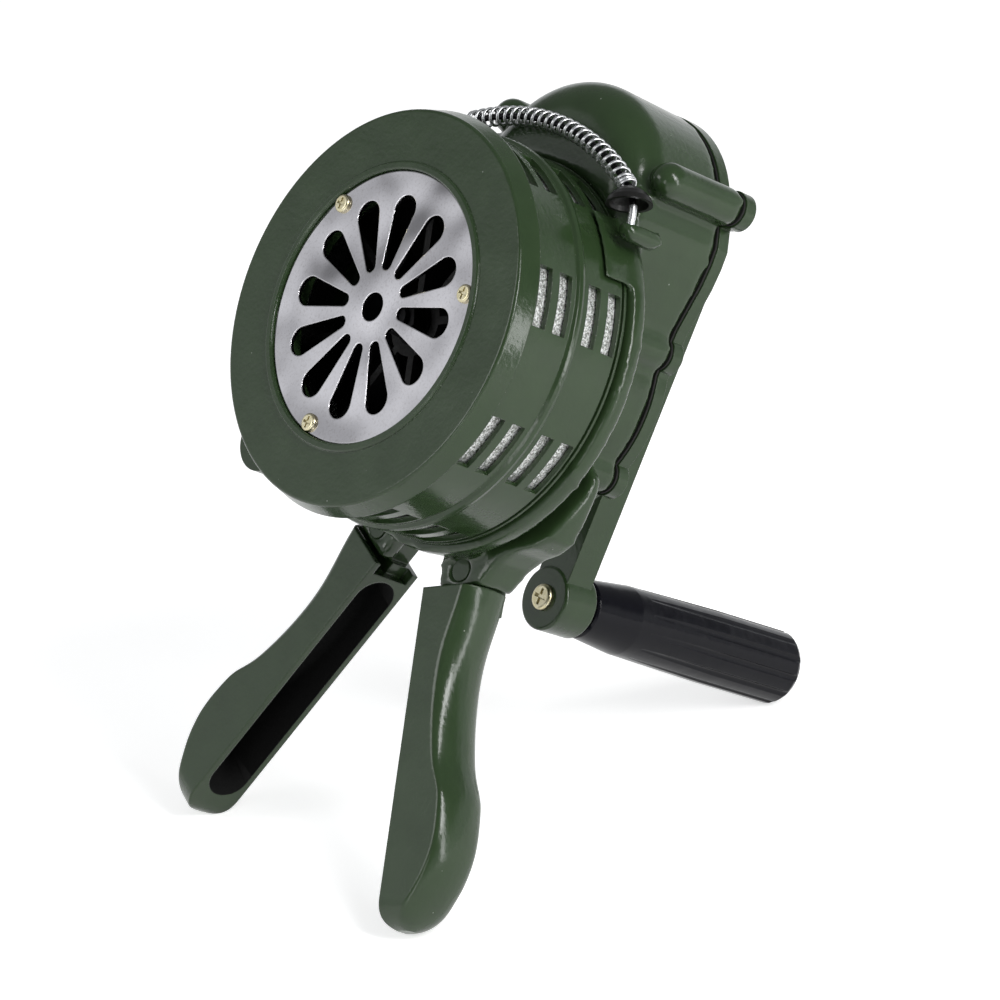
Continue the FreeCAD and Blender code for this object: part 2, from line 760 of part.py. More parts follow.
def crank_bushes():
    bore = crank_shaft_radius + run_fit
    outer = crank_shaft_radius + bush_wall
    return Part.makeCompound([
        ring(outer, bore, crank_front(), second_plane, 0, crank_height),
        ring(outer, bore, first_plane + first_width + 3.0, hub_back, 0, crank_height)])


# Crank and grip

def raked(shape):
    """Leans a piece of the crank outward about the crank shaft's end."""
    shape.rotate(V(0, arm_front, crank_height), V(1, 0, 0), crank_rake)
    return shape


def grip_height():
    return crank_height - crank_reach


def crank_seat_end():
    return arm_front + arm_thick - crank_sink_depth - 0.2


def crank_shaft():
    seat = hub_back + thrust_thick
    round_part = cylinder(crank_shaft_radius, crank_front() + seat_gap, seat, 0, crank_height)
    half = crank_seat_half
    square = box(-half, half, seat - 1, crank_seat_end(), crank_height - half,
                 crank_height + half)
    tapped = cylinder(crank_screw_radius, crank_seat_end() - 14, crank_seat_end() + 1, 0,
                      crank_height)
    return fuse([round_part, square]).cut(tapped).cut(crank_key())


def thrust_washer():
    return ring(10.5, crank_shaft_radius, hub_back + 0.1, hub_back + thrust_thick, 0,
                crank_height)


def crank_key():
    """The key between the crank shaft and its gear."""
    return box(-1.0, 1.0, first_plane - 3, first_plane + first_width,
               crank_height + crank_shaft_radius - 1.2, crank_height + crank_shaft_radius + 1.2)


def crank_arm():
    top = crank_height
    end = grip_height()
    back = arm_front + arm_thick
    blade = prism([(-arm_hub_half, top), (-arm_end_half, end), (arm_end_half, end),
                   (arm_hub_half, top)], arm_front, back)
    boss = cylinder(boss_radius, arm_front - 0.5, arm_front - 0.5 + boss_depth, 0, end)
    rims = [e for e in boss.Edges if e.BoundBox.YLength < 0.01]
    boss = boss.makeFillet(1.2, rims)
    lean = raked(blade.fuse(boss))
    hub = cylinder(arm_hub_radius, hub_back + thrust_thick, back, 0, top)
    body = fuse([lean, hub])
    front = hub_back + thrust_thick
    hole = raked(cylinder(spindle_radius, arm_front - 10, back + 20, 0, end))
    half = crank_seat_half
    square = box(-half, half, front - 1, back + 5, top - half, top + half)
    sink = cylinder(crank_sink_radius, back - crank_sink_depth, back + 5, 0, top)
    return body.cut(square).cut(sink).cut(hole)


def crank_washer():
    seat = arm_front + arm_thick - crank_sink_depth
    return ring(crank_sink_radius - 0.4, crank_screw_radius, seat, seat + 1.0, 0, crank_height)


def crank_screw():
    seat = arm_front + arm_thick - crank_sink_depth + 1.0
    return pan_screw(crank_screw_radius, crank_screw_head, 3.0, seat, 13.0, 0, crank_height,
                     False)


def grip_front():
    return arm_front - 0.5 + boss_depth + 1.2 + 2 * seat_gap


def grip_end():
    return grip_front() + grip_length


def spindle_screw():
    """The long screw that the grip turns on. Its head shows on the front of the boss."""
    seat = arm_front - 0.5
    nut_seat = grip_end() - 9.0
    screw = pan_screw(spindle_radius, spindle_head_radius, spindle_head_height, seat,
                      nut_seat + 7.5 - seat, 0, grip_height())
    return raked(screw)


def grip_washer():
    front = arm_front - 0.5 + boss_depth
    return raked(ring(9.0, spindle_radius, front, front + 1.2, 0, grip_height()))


def grip_nut():
    seat = grip_end() - 9.0 + seat_gap
    return raked(hexagon(13.0, seat, seat + 6.5, spindle_radius, 0, grip_height()))


def crank_grip():
    y0 = grip_front()
    y1 = grip_end()
    mid = y0 + flute_start
    r0 = grip_root_radius
    r1 = grip_radius
    profile = [(0.0, y0), (r0 - 0.8, y0), (r0, y0 + 0.8), ((r0 + r1) / 2 + 0.6, mid - 6.0),
               (r1 - 0.5, mid + 14.0), (r1, mid + 40.0), (r1, y1 - 2.2), (r1 - 0.9, y1 - 0.6),
               (r1 - 2.4, y1), (0.0, y1)]
    body = turned(profile)
    flutes = [cylinder(flute_radius, mid, y1 + 1, *polar(r1 + flute_radius * 0.45,
                                                         360 / flute_count * i))
              for i in range(flute_count)]
    body = body.cut(Part.makeCompound(flutes))
    bore = cylinder(spindle_radius + run_fit, y0 - 1, y1 + 1)
    pocket = cylinder(9.0, y1 - 9.0, y1 + 1)
    body = body.cut(bore.fuse(pocket))
    body.translate(V(0, 0, grip_height()))
    return raked(body)


# Legs

def in_leg_plane(shape):
    """Takes a shape drawn with X as w and -Z as s to the right leg's place."""
    shape.rotate(V(0, 0, 0), Y_AXIS, -leg_spread)
    shape.translate(V(leg_top_x, 0, leg_top_z))
    return shape


def rounded_section(s, w0, w1, y0, y1, radii):
    """A rectangle across the leg at s, with an elliptic round at each of its four corners."""
    corners = [(w0, y0, 1, 1), (w1, y0, -1, 1), (w1, y1, -1, -1), (w0, y1, 1, -1)]
    full = 4 / 3 * (math.sqrt(2) - 1)
    edges = []
    previous = None
    first = None
    for i, ((w, y, dw, dy), (rw, ry)) in enumerate(zip(corners, radii)):
        near = [V(w, y + dy * ry, -s), V(w, y + dy * ry * (1 - full), -s)]
        far = [V(w + dw * rw * (1 - full), y, -s), V(w + dw * rw, y, -s)]
        poles = near + far if i in (0, 2) else (near + far)[::-1]
        curve = Part.BezierCurve()
        curve.setPoles(poles)
        if previous is not None:
            edges.append(Part.LineSegment(previous, poles[0]).toShape())
        edges.append(curve.toShape())
        previous = poles[-1]
        first = first or poles[0]
    edges.append(Part.LineSegment(previous, first).toShape())
    return Part.Wire(edges)


def fall_back(radius, distance):
    """How far a rounded edge has drawn in, at a distance from the end it rounds."""
    if distance >= radius:
        return 0.0
    return radius - math.sqrt(radius ** 2 - (radius - distance) ** 2)


def leg_section(s, w0, w1, bulge, skin):
    """The leg's outline across s, or its hollow's where skin is the wall left outside it."""
    drawn_in = fall_back(leg_tip_round, leg_length - s) + skin
    y0 = leg_front + drawn_in
    y1 = leg_front + leg_depth - drawn_in
    wide = min(bulge, 0.7 * (w1 - w0))
    tall = 0.49 * (y1 - y0)
    edge = min(0.2 * (w1 - w0), leg_edge_round + 0.3 * max(w0, 0.0))
    return rounded_section(s, w0, w1, y0, y1,
                           ((edge, edge), (wide, tall), (wide, tall), (edge, edge)))


def leg_body():
    return Part.makeLoft([leg_section(s, w0, w1, bulge, 0.0)
                          for s, w0, w1, bulge in leg_stations], True, False)


def leg_hollow():
    """The channel in the leg's flat side, with round ends, and the recess that the ear needs."""
    y0 = leg_front + leg_wall
    y1 = leg_front + leg_depth - leg_wall
    half = (y1 - y0) / 2
    across = 2 * leg_top_width
    deep = Part.makeLoft([leg_section(s, -1.0, w1 - leg_shell, bulge, leg_wall)
                          for s, w0, w1, bulge in leg_stations if s < leg_channel_end + 4],
                         True, False)
    start = leg_channel_start + half
    end = leg_channel_end - half
    slot = Part.makeBox(across, y1 - y0, end - start, V(-2, y0, -end))
    rounds = [Part.makeCylinder(half, across, V(-2, y0 + half, -s), V(1, 0, 0))
              for s in (start, end)]
    channel = deep.common(fuse([slot] + rounds))
    recess = Part.makeBox(leg_top_width - leg_shell + 1, y1 - y0, leg_recess_end + 1,
                          V(-1, y0, -leg_recess_end))
    return channel.fuse(recess)


def right_leg():
    back = leg_front + leg_depth
    tongue_front = ear_front + ear_thick + seat_gap
    tongue_back = back - leg_wall + 1
    tongue = cylinder(tongue_radius, tongue_front, tongue_back, pin_w, -pin_s)
    root_w = 4.0
    root_s = leg_channel_start + 1
    root = prism([(root_w, -leg_top), (pin_w - tongue_radius, -leg_top),
                  (pin_w - tongue_radius, -pin_s), (pin_w + tongue_radius, -pin_s),
                  (pin_w + tongue_radius, -leg_top), (leg_top_width - leg_shell, -root_s),
                  (root_w, -root_s)], tongue_front, tongue_back)
    solid = fuse([leg_body().cut(leg_hollow()), tongue, root])
    solid = solid.cut(cylinder(pin_radius + run_fit, leg_front - 1, back + 1, pin_w, -pin_s))
    return in_leg_plane(solid)


def leg_pins():
    pins = []
    pin_x, pin_z = leg_point(pin_w, pin_s)
    back = leg_front + leg_depth - leg_wall + 1
    for side in (-1, 1):
        x = side * pin_x
        seat = ear_front + ear_recess
        pins.append(fuse([cylinder(pin_radius, seat, back + 2.2, x, pin_z),
                          cylinder(pin_head_radius, seat - pin_head_height, seat, x, pin_z)]))
    return Part.makeCompound(pins)


def leg_circlips():
    pin_x, pin_z = leg_point(pin_w, pin_s)
    back = leg_front + leg_depth - leg_wall + 1 + seat_gap
    return Part.makeCompound([ring(4.8, pin_radius, back, back + 1.0, side * pin_x, pin_z)
                              for side in (-1, 1)])


# Carry handle

def handle_point(t):
    """Place and direction on the right half of the cable's route: the arch, the bend, the end.

    t runs from 0 at the top of the arch over 0.5 at its end to 1 at the end of the bend.
    """
    if t <= 0.5:
        a = math.radians(handle_arch_half) * t / 0.5
        centre = V(0, handle_y, handle_top - handle_arch_radius)
        out = V(math.sin(a), 0, math.cos(a))
        return centre + out * handle_arch_radius, V(math.cos(a), 0, -math.sin(a))
    a0 = math.radians(handle_arch_half)
    a1 = math.radians(handle_end_angle)
    a = a0 + (a1 - a0) * (t - 0.5) / 0.5
    start, heading = handle_point(0.5)
    centre = start - V(math.sin(a0), 0, math.cos(a0)) * handle_bend_radius
    out = V(math.sin(a), 0, math.cos(a))
    return centre + out * handle_bend_radius, V(math.cos(a), 0, -math.sin(a))


def flip(point):
    return V(-point.x, point.y, point.z)


def handle_bore(side):
    place, heading = handle_point(1.0)
    bore = Part.makeCylinder(ferrule_radius, handle_drop * 0.8, place, heading)
    return bore if side > 0 else mirrored(bore)


def handle_cable():
    end, heading = handle_point(1.0)
    tail = end + heading * (handle_drop * 0.4)
    crest = handle_point(0.0)[0]
    bend = [handle_point(t)[0] for t in (0.5, 0.75, 1.0)]
    right = [Part.Arc(*bend).toShape(), Part.LineSegment(end, tail).toShape()]
    left = [Part.LineSegment(flip(tail), flip(end)).toShape(),
            Part.Arc(*[flip(p) for p in reversed(bend)]).toShape()]
    arch = Part.Arc(flip(bend[0]), crest, bend[0]).toShape()
    path = Part.Wire(left + [arch] + right)
    section = Part.Wire(Part.makeCircle(cable_radius, flip(tail), flip(heading) * -1))
    return path.makePipeShell([section], True, False)


def handle_ferrules():
    end, heading = handle_point(1.0)
    start = end + heading * (handle_drop * 0.4)
    ferrule = Part.makeCylinder(ferrule_radius, handle_drop * 0.4, start, heading)
    return Part.makeCompound([ferrule, mirrored(ferrule)])


def handle_cups():
    """The black domes at the spring's ends, open towards the lugs."""
    top, heading = handle_point(0.5)
    height = cup_height
    skin = 1.5
    points = [(0.0, 0.0), (cup_radius * 0.45, 0.0), (cup_radius * 0.72, height * 0.3),
              (cup_radius * 0.92, height * 0.65), (cup_radius, height),
              (cup_radius - skin, height), (cup_radius * 0.92 - skin, height * 0.72),
              (cup_radius * 0.7 - skin, height * 0.35 + skin * 0.5),
              (cup_radius * 0.35, skin), (0.0, skin)]
    cup = turned(points).cut(cylinder(cable_radius + cup_play, -1, 5))
    cup.rotate(V(0, 0, 0), V(0, 0, 1), -90)
    cup.rotate(V(0, 0, 0), Y_AXIS, cup_lean)
    cup.translate(top + heading * cup_start)
    return Part.makeCompound([cup, mirrored(cup)])


def spring_frame(turn):
    """Middle line and the two directions across it, at a number of turns from the left end."""
    share = turn / spring_turns
    a = math.radians(handle_arch_half) * (2 * share - 1)
    out = V(math.sin(a), 0, math.cos(a))
    centre = V(0, handle_y, handle_top - handle_arch_radius) + out * handle_arch_radius
    return centre, out, Y_AXIS


def spring_point(turn):
    centre, out, across = spring_frame(turn)
    angle = 2 * math.pi * turn
    return centre + out * (spring_radius * math.cos(angle)) + across * (
        spring_radius * math.sin(angle))


def spring_heading(turn):
    step = 1e-4
    low = max(turn - step, 0.0)
    high = min(turn + step, spring_turns)
    return (spring_point(high) - spring_point(low)).normalize()


def arc_between(start, corner, end):
    """The arc that leaves start and reaches end along the two sides of corner."""
    middle = (start + end) * 0.5
    half_chord = (end - start).Length / 2
    height = (corner - middle).Length
    turn = 2 * math.atan2(height, half_chord)
    if height < 1e-6:
        return Part.LineSegment(start, end).toShape()
    crest = middle + (corner - middle).normalize() * (half_chord * math.tan(turn / 4))
    return Part.Arc(start, crest, end).toShape()


def biarc(p0, t0, p1, t1):
    """Two arcs that meet smoothly, from p0 heading t0 to p1 heading t1."""
    v = p1 - p0
    t = t0 + t1
    a = t.dot(t) - 4
    b = -2 * v.dot(t)
    c = v.dot(v)
    d = (-b - math.sqrt(b * b - 4 * a * c)) / (2 * a) if abs(a) > 1e-9 else -c / b
    q0 = p0 + t0 * d
    q1 = p1 - t1 * d
    joint = (q0 + q1) * 0.5
    return [arc_between(p0, q0, joint), arc_between(joint, q1, p1)]


def handle_spring():
    """One unbroken tube: straight ends, then quarter turns of biarcs round the cable."""
    first, first_out, across = spring_frame(0.0)
    last, last_out, across = spring_frame(spring_turns)
    right = handle_point(0.5)[1]
    left = flip(right) * -1
    lead = 2 * spring_wire
    start = first + first_out * spring_radius
    stop = last + last_out * spring_radius
    stations = [(start, left), (start + left * lead, left)]
    for i in range(int(round((spring_turns - 2 * spring_lead_turns) * 4)) + 1):
        turn = spring_lead_turns + i / 4
        stations.append((spring_point(turn), spring_heading(turn)))
    stations += [(stop - right * lead, right), (stop, right)]
    edges = [Part.LineSegment(stations[0][0], stations[1][0]).toShape()]
    for (pa, ta), (pb, tb) in zip(stations[1:-2], stations[2:-1]):
        edges += biarc(pa, ta, pb, tb)
    edges.append(Part.LineSegment(stations[-2][0], stations[-1][0]).toShape())
    path = Part.Wire(edges)
    section = Part.Wire(Part.makeCircle(spring_wire, start, left))
    tube = path.makePipeShell([section], True, False)
    print("spring length", round(path.Length, 1), "volume", round(tube.Volume, 1), "expected",
          round(math.pi * spring_wire ** 2 * path.Length, 1))
    return tube


def spring_gap():
    """Least gap between neighbouring turns, measured on points."""
    least = spring_radius * 2
    for i in range(16 * (spring_turns - 2)):
        turn = i / 16
        for k in range(-4, 5):
            other = turn + 1 + k / 32
            gap = (spring_point(other) - spring_point(turn)).Length - 2 * spring_wire
            least = min(least, gap)
    return least


def all_parts():
    leg = right_leg()
    return {
        "front_cap": front_cap(), "intake_grille": intake_grille(),
        "grille_screws": grille_screws(), "stator_drum": stator_drum(),
        "drum_screws": drum_screws(), "rotor": rotor(), "rotor_shaft": rotor_shaft(),
        "rotor_washer": rotor_washer(), "rotor_nut": rotor_nut(),
        "rotor_bearings": rotor_bearings(), "rotor_pinion": rotor_pinion(),
        "layshaft": layshaft(), "layshaft_gear": layshaft_gear(),
        "layshaft_pinion": layshaft_pinion(), "layshaft_spacer": layshaft_spacer(),
        "layshaft_bushes": layshaft_bushes(), "gearbox_housing": gearbox_housing(),
        "cover_gasket": cover_gasket(), "gearbox_cover": gearbox_cover(),
        "cover_screws": cover_screws(), "crank_bushes": crank_bushes(),
        "crank_shaft": crank_shaft(), "crank_gear": crank_gear(), "crank_key": crank_key(),
        "thrust_washer": thrust_washer(), "crank_arm": crank_arm(),
        "crank_washer": crank_washer(), "crank_screw": crank_screw(),
        "spindle_screw": spindle_screw(), "grip_washer": grip_washer(),
        "grip_nut": grip_nut(), "crank_grip": crank_grip(), "right_leg": leg,
        "left_leg": mirrored(leg), "leg_pins": leg_pins(), "leg_circlips": leg_circlips(),
        "handle_spring": handle_spring(), "handle_cable": handle_cable(),
        "handle_cups": handle_cups(), "handle_ferrules": handle_ferrules(),
    }


def lowest(shape, degrees):
    copy = shape.copy()
    copy.rotate(V(0, 0, 0), V(1, 0, 0), -degrees)
    return copy.optimalBoundingBox(False).ZMin


def standing_tilt(leg, grip):
    """The tilt at which the leg tips and the grip's end reach the floor together."""
    low, high = 20.0, 40.0
    for _ in range(16):
        middle = (low + high) / 2
        if lowest(grip, middle) > lowest(leg, middle):
            low = middle
        else:
            high = middle
    return (low + high) / 2


def placed(parts):
    """The parts in the standing frame: tilted, with the origin at the bottom centre."""
    tilt = standing_tilt(parts["right_leg"], parts["crank_grip"])
    for shape in parts.values():
        shape.rotate(V(0, 0, 0), V(1, 0, 0), -tilt)
    extent = None
    for shape in parts.values():
        own = shape.optimalBoundingBox(False)
        extent = own if extent is None else extent.united(own)
    shift = V(-(extent.XMin + extent.XMax) / 2, -(extent.YMin + extent.YMax) / 2, -extent.ZMin)
    for shape in parts.values():
        shape.translate(shift)
    print("tilt", round(tilt, 5), "shift", shift, "extent", extent)
    return parts, tilt, shift


def main():
    os.makedirs("parts", exist_ok=True)
    parts, tilt, shift = placed(all_parts())
    for name, shape in parts.items():
        shape.exportStep("parts/" + name + ".step")
        solids = len(shape.Solids)
        print(f"{name:18s} solids {solids} volume {shape.Volume:10.1f} valid {shape.isValid()}")
    print("least spring gap", round(spring_gap(), 2))


if __name__ == "__main__":
    main()
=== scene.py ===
# %% [markdown]
# # Hand crank siren
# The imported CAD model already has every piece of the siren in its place. This script gives
# each piece the surface that the real one has, swaps the wound pieces of the carry handle
# and the gearbox's casting for fuller ones, and lights the whole on a plain floor.

import json
import math

import bmesh
import bpy
from mathutils import Euler, Matrix, Vector


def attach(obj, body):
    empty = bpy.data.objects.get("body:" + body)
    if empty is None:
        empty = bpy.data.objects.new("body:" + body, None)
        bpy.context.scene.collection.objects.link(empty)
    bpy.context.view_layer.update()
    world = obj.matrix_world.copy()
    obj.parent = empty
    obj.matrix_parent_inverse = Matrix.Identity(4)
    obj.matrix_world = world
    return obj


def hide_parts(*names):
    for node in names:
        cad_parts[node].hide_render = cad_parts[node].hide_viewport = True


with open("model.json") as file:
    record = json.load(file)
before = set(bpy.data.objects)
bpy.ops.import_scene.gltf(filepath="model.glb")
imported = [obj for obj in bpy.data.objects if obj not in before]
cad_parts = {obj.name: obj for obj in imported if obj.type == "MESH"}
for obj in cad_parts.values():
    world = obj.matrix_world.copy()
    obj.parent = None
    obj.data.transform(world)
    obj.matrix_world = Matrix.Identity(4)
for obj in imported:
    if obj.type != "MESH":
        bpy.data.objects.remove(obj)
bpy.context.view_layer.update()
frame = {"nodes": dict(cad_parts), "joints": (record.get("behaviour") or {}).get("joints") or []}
nodes = frame["nodes"]

# %% [markdown]
# The siren was drawn upright, with its drum along Y, and then tilted until it stood on its
# two legs and the end of its grip. The rotor's hinge still holds that tilt: its axis is the
# drum's axis, and it starts 56 mm behind the front cap's broad face. One matrix made from it
# takes a point of the drawing to its place on the floor, so new pieces can use the
# drawing's own round numbers.

# %% The way from the drawing to the floor
MM = 0.001
JOINT_DEPTH = 56         # mm from the front cap's broad face back to the hinge's own point

rotor_joint = {joint["name"]: joint for joint in frame["joints"]}["rotor_spin"]
drum_axis = Vector(rotor_joint["axis"])
side_axis = Vector((1, 0, 0))
top_axis = side_axis.cross(drum_axis)
drum_front = Vector(rotor_joint["pos_m"]) - drum_axis * JOINT_DEPTH * MM

standing = Matrix.Translation(drum_front) @ Matrix(
    (side_axis, drum_axis, top_axis)).transposed().to_4x4()
print("tilt:", round(math.degrees(math.atan2(-drum_axis.z, drum_axis.y)), 2), "degrees")

# %% [markdown]
# The camera stands where the photographer stood, about two metres away on the right, with a
# long lens, so the drum's two ends look almost the same size. Its place and its three
# angles are written in the drawing's frame and carried over by the same matrix. Putting an
# object into the scene takes two calls, so a helper does both.

# %% Camera
CAMERA_PLACE = Vector((1565.85, -1307.21, 55.4)) * MM
CAMERA_ANGLES = Euler([math.radians(a) for a in (86.9387, -23.1586, 49.427)])
LENS = 208.92
SENSOR = 36.0


def put(name, data):
    """Puts a new object with this data into the scene, at the origin."""
    thing = bpy.data.objects.new(name, data)
    bpy.context.scene.collection.objects.link(thing)
    return thing


camera_data = bpy.data.cameras.new("photo_camera")
camera_data.lens = LENS
camera_data.sensor_width = SENSOR
camera_data.clip_start = 0.05
camera_data.clip_end = 20
camera = put("photo_camera", camera_data)
camera.matrix_world = (standing @ Matrix.Translation(CAMERA_PLACE)
                       @ CAMERA_ANGLES.to_matrix().to_4x4())
bpy.context.scene.camera = camera
print("camera at", [round(c, 3) for c in camera.matrix_world.translation])

# %% [markdown]
# Colours are written as they are seen on a screen, in sRGB, while the renderer adds light
# up in linear values. One function does the change. A second one adds a node, sets its
# values and links its inputs, which keeps each material short enough to read as a list.
# The Mix node gives all its inputs A and B the same two names, so those are called by their
# numbers, which have names here.

# %% Helpers for materials
COLOUR_A, COLOUR_B, COLOUR_OUT = 6, 7, 2     # a Mix node's sockets when it mixes colours
NUMBER_A, NUMBER_B, NUMBER_OUT = 2, 3, 0     # and when it mixes plain numbers


def linear(hex_colour):
    """The linear colour of an sRGB hex colour such as '#3a4a3a'."""
    parts = [int(hex_colour[i:i + 2], 16) / 255 for i in (1, 3, 5)]
    return tuple(c / 12.92 if c <= 0.04045 else ((c + 0.055) / 1.055) ** 2.4
                 for c in parts) + (1,)


def add(material, kind, inputs=None, **settings):
    """Adds a node. An input is given a number, a colour, or another node's output."""
    node = material.node_tree.nodes.new(kind)
    for name, value in settings.items():
        setattr(node, name, value)
    for socket, value in (inputs or {}).items():
        if isinstance(value, bpy.types.NodeSocket):
            material.node_tree.links.new(value, node.inputs[socket])
        else:
            node.inputs[socket].default_value = value
    return node


def start(name, colour, roughness, metallic=0.0, **constants):
    """A material with its shader's plain values set, and the object's own coordinates."""
    material = bpy.data.materials.new(name)
    material.use_nodes = True
    material.diffuse_color = linear(colour)
    shader = material.node_tree.nodes["Principled BSDF"]
    shader.inputs["Base Color"].default_value = linear(colour)
    shader.inputs["Roughness"].default_value = roughness
    shader.inputs["Metallic"].default_value = metallic
    for socket, value in constants.items():
        shader.inputs[socket.replace("_", " ")].default_value = value
    place = add(material, "ShaderNodeTexCoord").outputs["Object"]
    return material, shader, place


def feed(material, shader, **outputs):
    """Links outputs to the shader's sockets."""
    for socket, output in outputs.items():
        material.node_tree.links.new(output, shader.inputs[socket.replace("_", " ")])


def per_mm(size):
    """The scale of a pattern whose features are this many millimetres across."""
    return 1 / (size * MM)


def drawn(material, place):
    """Object coordinates taken back to the drawing, where the drum's axis is Y."""
    return add(material, "ShaderNodeMapping", {
        "Vector": place, "Location": drum_front, "Rotation": standing.to_euler()},
        vector_type="TEXTURE").outputs["Vector"]


# %% [markdown]
# The body is sand-cast and die-cast aluminium under a thick coat of glossy deep green
# enamel. A flat green would look like plastic. The real coat shows three things: a fine
# orange peel where the spray dried, slow waves of the casting below it, and rounded edges
# where the paint is thin, which catch the light and are chipped to pale metal in places.
# The Bevel node rounds the shading of sharp edges, and comparing its normal with the
# surface's own one finds those edges for the wear.

# %% Painted cast aluminium
ORANGE_PEEL = 1.6        # mm between the coat's small bumps
CASTING_WAVE = 14.0      # mm between the casting's slow waves
CHIP_SIZE = 0.9          # mm, the chips in the paint of an edge
SPECK_SPACING = 7.0      # mm between grains of dust caught in the coat
SPECK_SIZES = (0.045, 0.025)     # where a grain fades in and is whole, in spacings
SPECK_SHARE = 0.6        # the share of places that have no grain
EDGE_FACING = (0.985, 0.86)      # how far the two normals agree where an edge starts, is full
WAVE_RELIEF = 3.0        # how much higher the waves are than the orange peel


def painted_cast_aluminium(name, colour, edge_round, wear):
    """Enamel whose edges look rounded by edge_round mm and are worn by a share of wear."""
    material, shader, place = start(name, colour, 0.25, Specular_IOR_Level=0.4)
    peel = add(material, "ShaderNodeTexNoise", {
        "Vector": place, "Scale": per_mm(ORANGE_PEEL), "Detail": 2.0}).outputs["Fac"]
    wave = add(material, "ShaderNodeTexNoise", {
        "Vector": place, "Scale": per_mm(CASTING_WAVE), "Detail": 3.0}).outputs["Fac"]
    fine = add(material, "ShaderNodeTexNoise", {
        "Vector": place, "Scale": per_mm(CHIP_SIZE), "Detail": 3.0,
        "Roughness": 0.7}).outputs["Fac"]

    rounded = add(material, "ShaderNodeBevel", {"Radius": edge_round * MM}, samples=6)
    surface = add(material, "ShaderNodeNewGeometry").outputs["Normal"]
    facing = add(material, "ShaderNodeVectorMath", {
        0: rounded.outputs["Normal"], 1: surface}, operation="DOT_PRODUCT").outputs["Value"]
    edge = add(material, "ShaderNodeMapRange", {
        "Value": facing, "From Min": EDGE_FACING[0], "From Max": EDGE_FACING[1]})
    chips = add(material, "ShaderNodeMapRange", {
        "Value": fine, "From Min": 0.58, "From Max": 0.66, "To Max": wear})
    worn = add(material, "ShaderNodeMath", {
        0: edge.outputs["Result"], 1: chips.outputs["Result"]}, operation="MULTIPLY")

    grains = add(material, "ShaderNodeTexVoronoi", {
        "Vector": place, "Scale": per_mm(SPECK_SPACING)})
    speck = add(material, "ShaderNodeMapRange", {
        "Value": grains.outputs["Distance"], "From Min": SPECK_SIZES[0],
        "From Max": SPECK_SIZES[1], "To Max": 0.55})
    chosen = add(material, "ShaderNodeSeparateColor", {"Color": grains.outputs["Color"]})
    some = add(material, "ShaderNodeMath", {0: chosen.outputs["Red"], 1: SPECK_SHARE},
               operation="GREATER_THAN")
    dust = add(material, "ShaderNodeMath", {
        0: speck.outputs["Result"], 1: some.outputs["Value"]}, operation="MULTIPLY")

    shade = add(material, "ShaderNodeMix", {
        "Factor": wave, COLOUR_A: linear(colour), COLOUR_B: linear("#304328")},
        data_type="RGBA")
    thin = add(material, "ShaderNodeMix", {
        "Factor": worn.outputs["Value"], COLOUR_A: shade.outputs[COLOUR_OUT],
        COLOUR_B: linear("#8d9588")}, data_type="RGBA")
    dusty = add(material, "ShaderNodeMix", {
        "Factor": dust.outputs["Value"], COLOUR_A: thin.outputs[COLOUR_OUT],
        COLOUR_B: linear("#b9c0b4")}, data_type="RGBA")

    relief = add(material, "ShaderNodeMath", {0: wave, 1: WAVE_RELIEF, 2: peel},
                 operation="MULTIPLY_ADD")
    bump = add(material, "ShaderNodeBump", {
        "Strength": 0.25, "Distance": 0.25 * MM, "Height": relief.outputs["Value"],
        "Normal": rounded.outputs["Normal"]})
    gloss = add(material, "ShaderNodeMapRange", {
        "Value": wave, "From Min": 0.3, "From Max": 0.7, "To Min": 0.12, "To Max": 0.22})
    feed(material, shader, Base_Color=dusty.outputs[COLOUR_OUT],
         Roughness=gloss.outputs["Result"], Normal=bump.outputs["Normal"])
    return material


body_green = painted_cast_aluminium("green_enamel_on_cast_aluminium", "#273820",
                                    edge_round=0.5, wear=0.7)
leg_green = painted_cast_aluminium("green_enamel_on_cast_grips", "#273820",
                                   edge_round=0.9, wear=0.3)
print("painted castings:", body_green.name, leg_green.name)

# %% [markdown]
# The rotor behind the slots is left bare on its rim. Sand casting leaves it pale grey and
# grainy, like coarse sugar, with grains a little under a millimetre. It is a metal, so its
# colour is its reflection, and the grain goes into bump and roughness too. Its inside and its
# vanes, which show through the petals of the grille, lie in shade there, and that shade is
# painted on them as flat black. One distance from the drum's axis parts the bare rim from
# the painted shade.

# %% Sand-cast bare aluminium, with painted shade inside
RIM_INSIDE = 66.6        # mm from the drum's axis to where the bare rim starts
SAND_GRAIN = 0.8         # mm

bare_cast, shader, place = start("sand_cast_aluminium", "#c9c8c0", 0.5, metallic=1.0)
grain = add(bare_cast, "ShaderNodeTexNoise", {
    "Vector": place, "Scale": per_mm(SAND_GRAIN), "Detail": 4.0,
    "Roughness": 0.75}).outputs["Fac"]
across = add(bare_cast, "ShaderNodeVectorMath", {0: drawn(bare_cast, place), 1: (1, 0, 1)},
             operation="MULTIPLY").outputs["Vector"]
radius = add(bare_cast, "ShaderNodeVectorMath", {0: across},
             operation="LENGTH").outputs["Value"]
rim = add(bare_cast, "ShaderNodeMath", {0: radius, 1: RIM_INSIDE * MM},
          operation="GREATER_THAN").outputs["Value"]
sugar = add(bare_cast, "ShaderNodeMapRange", {
    "Value": grain, "From Min": 0.42, "From Max": 0.56}).outputs["Result"]
tone = add(bare_cast, "ShaderNodeMix", {
    "Factor": sugar, COLOUR_A: linear("#83857f"), COLOUR_B: linear("#fdfefd")},
    data_type="RGBA")
# Inside the rim the rotor is flat black and not metallic: painted shade for the dark inside the
# drum.
bare_rim_and_painted_shade = add(bare_cast, "ShaderNodeMix", {
    "Factor": rim, COLOUR_A: linear("#0a0a0a"), COLOUR_B: tone.outputs[COLOUR_OUT]},
    data_type="RGBA")
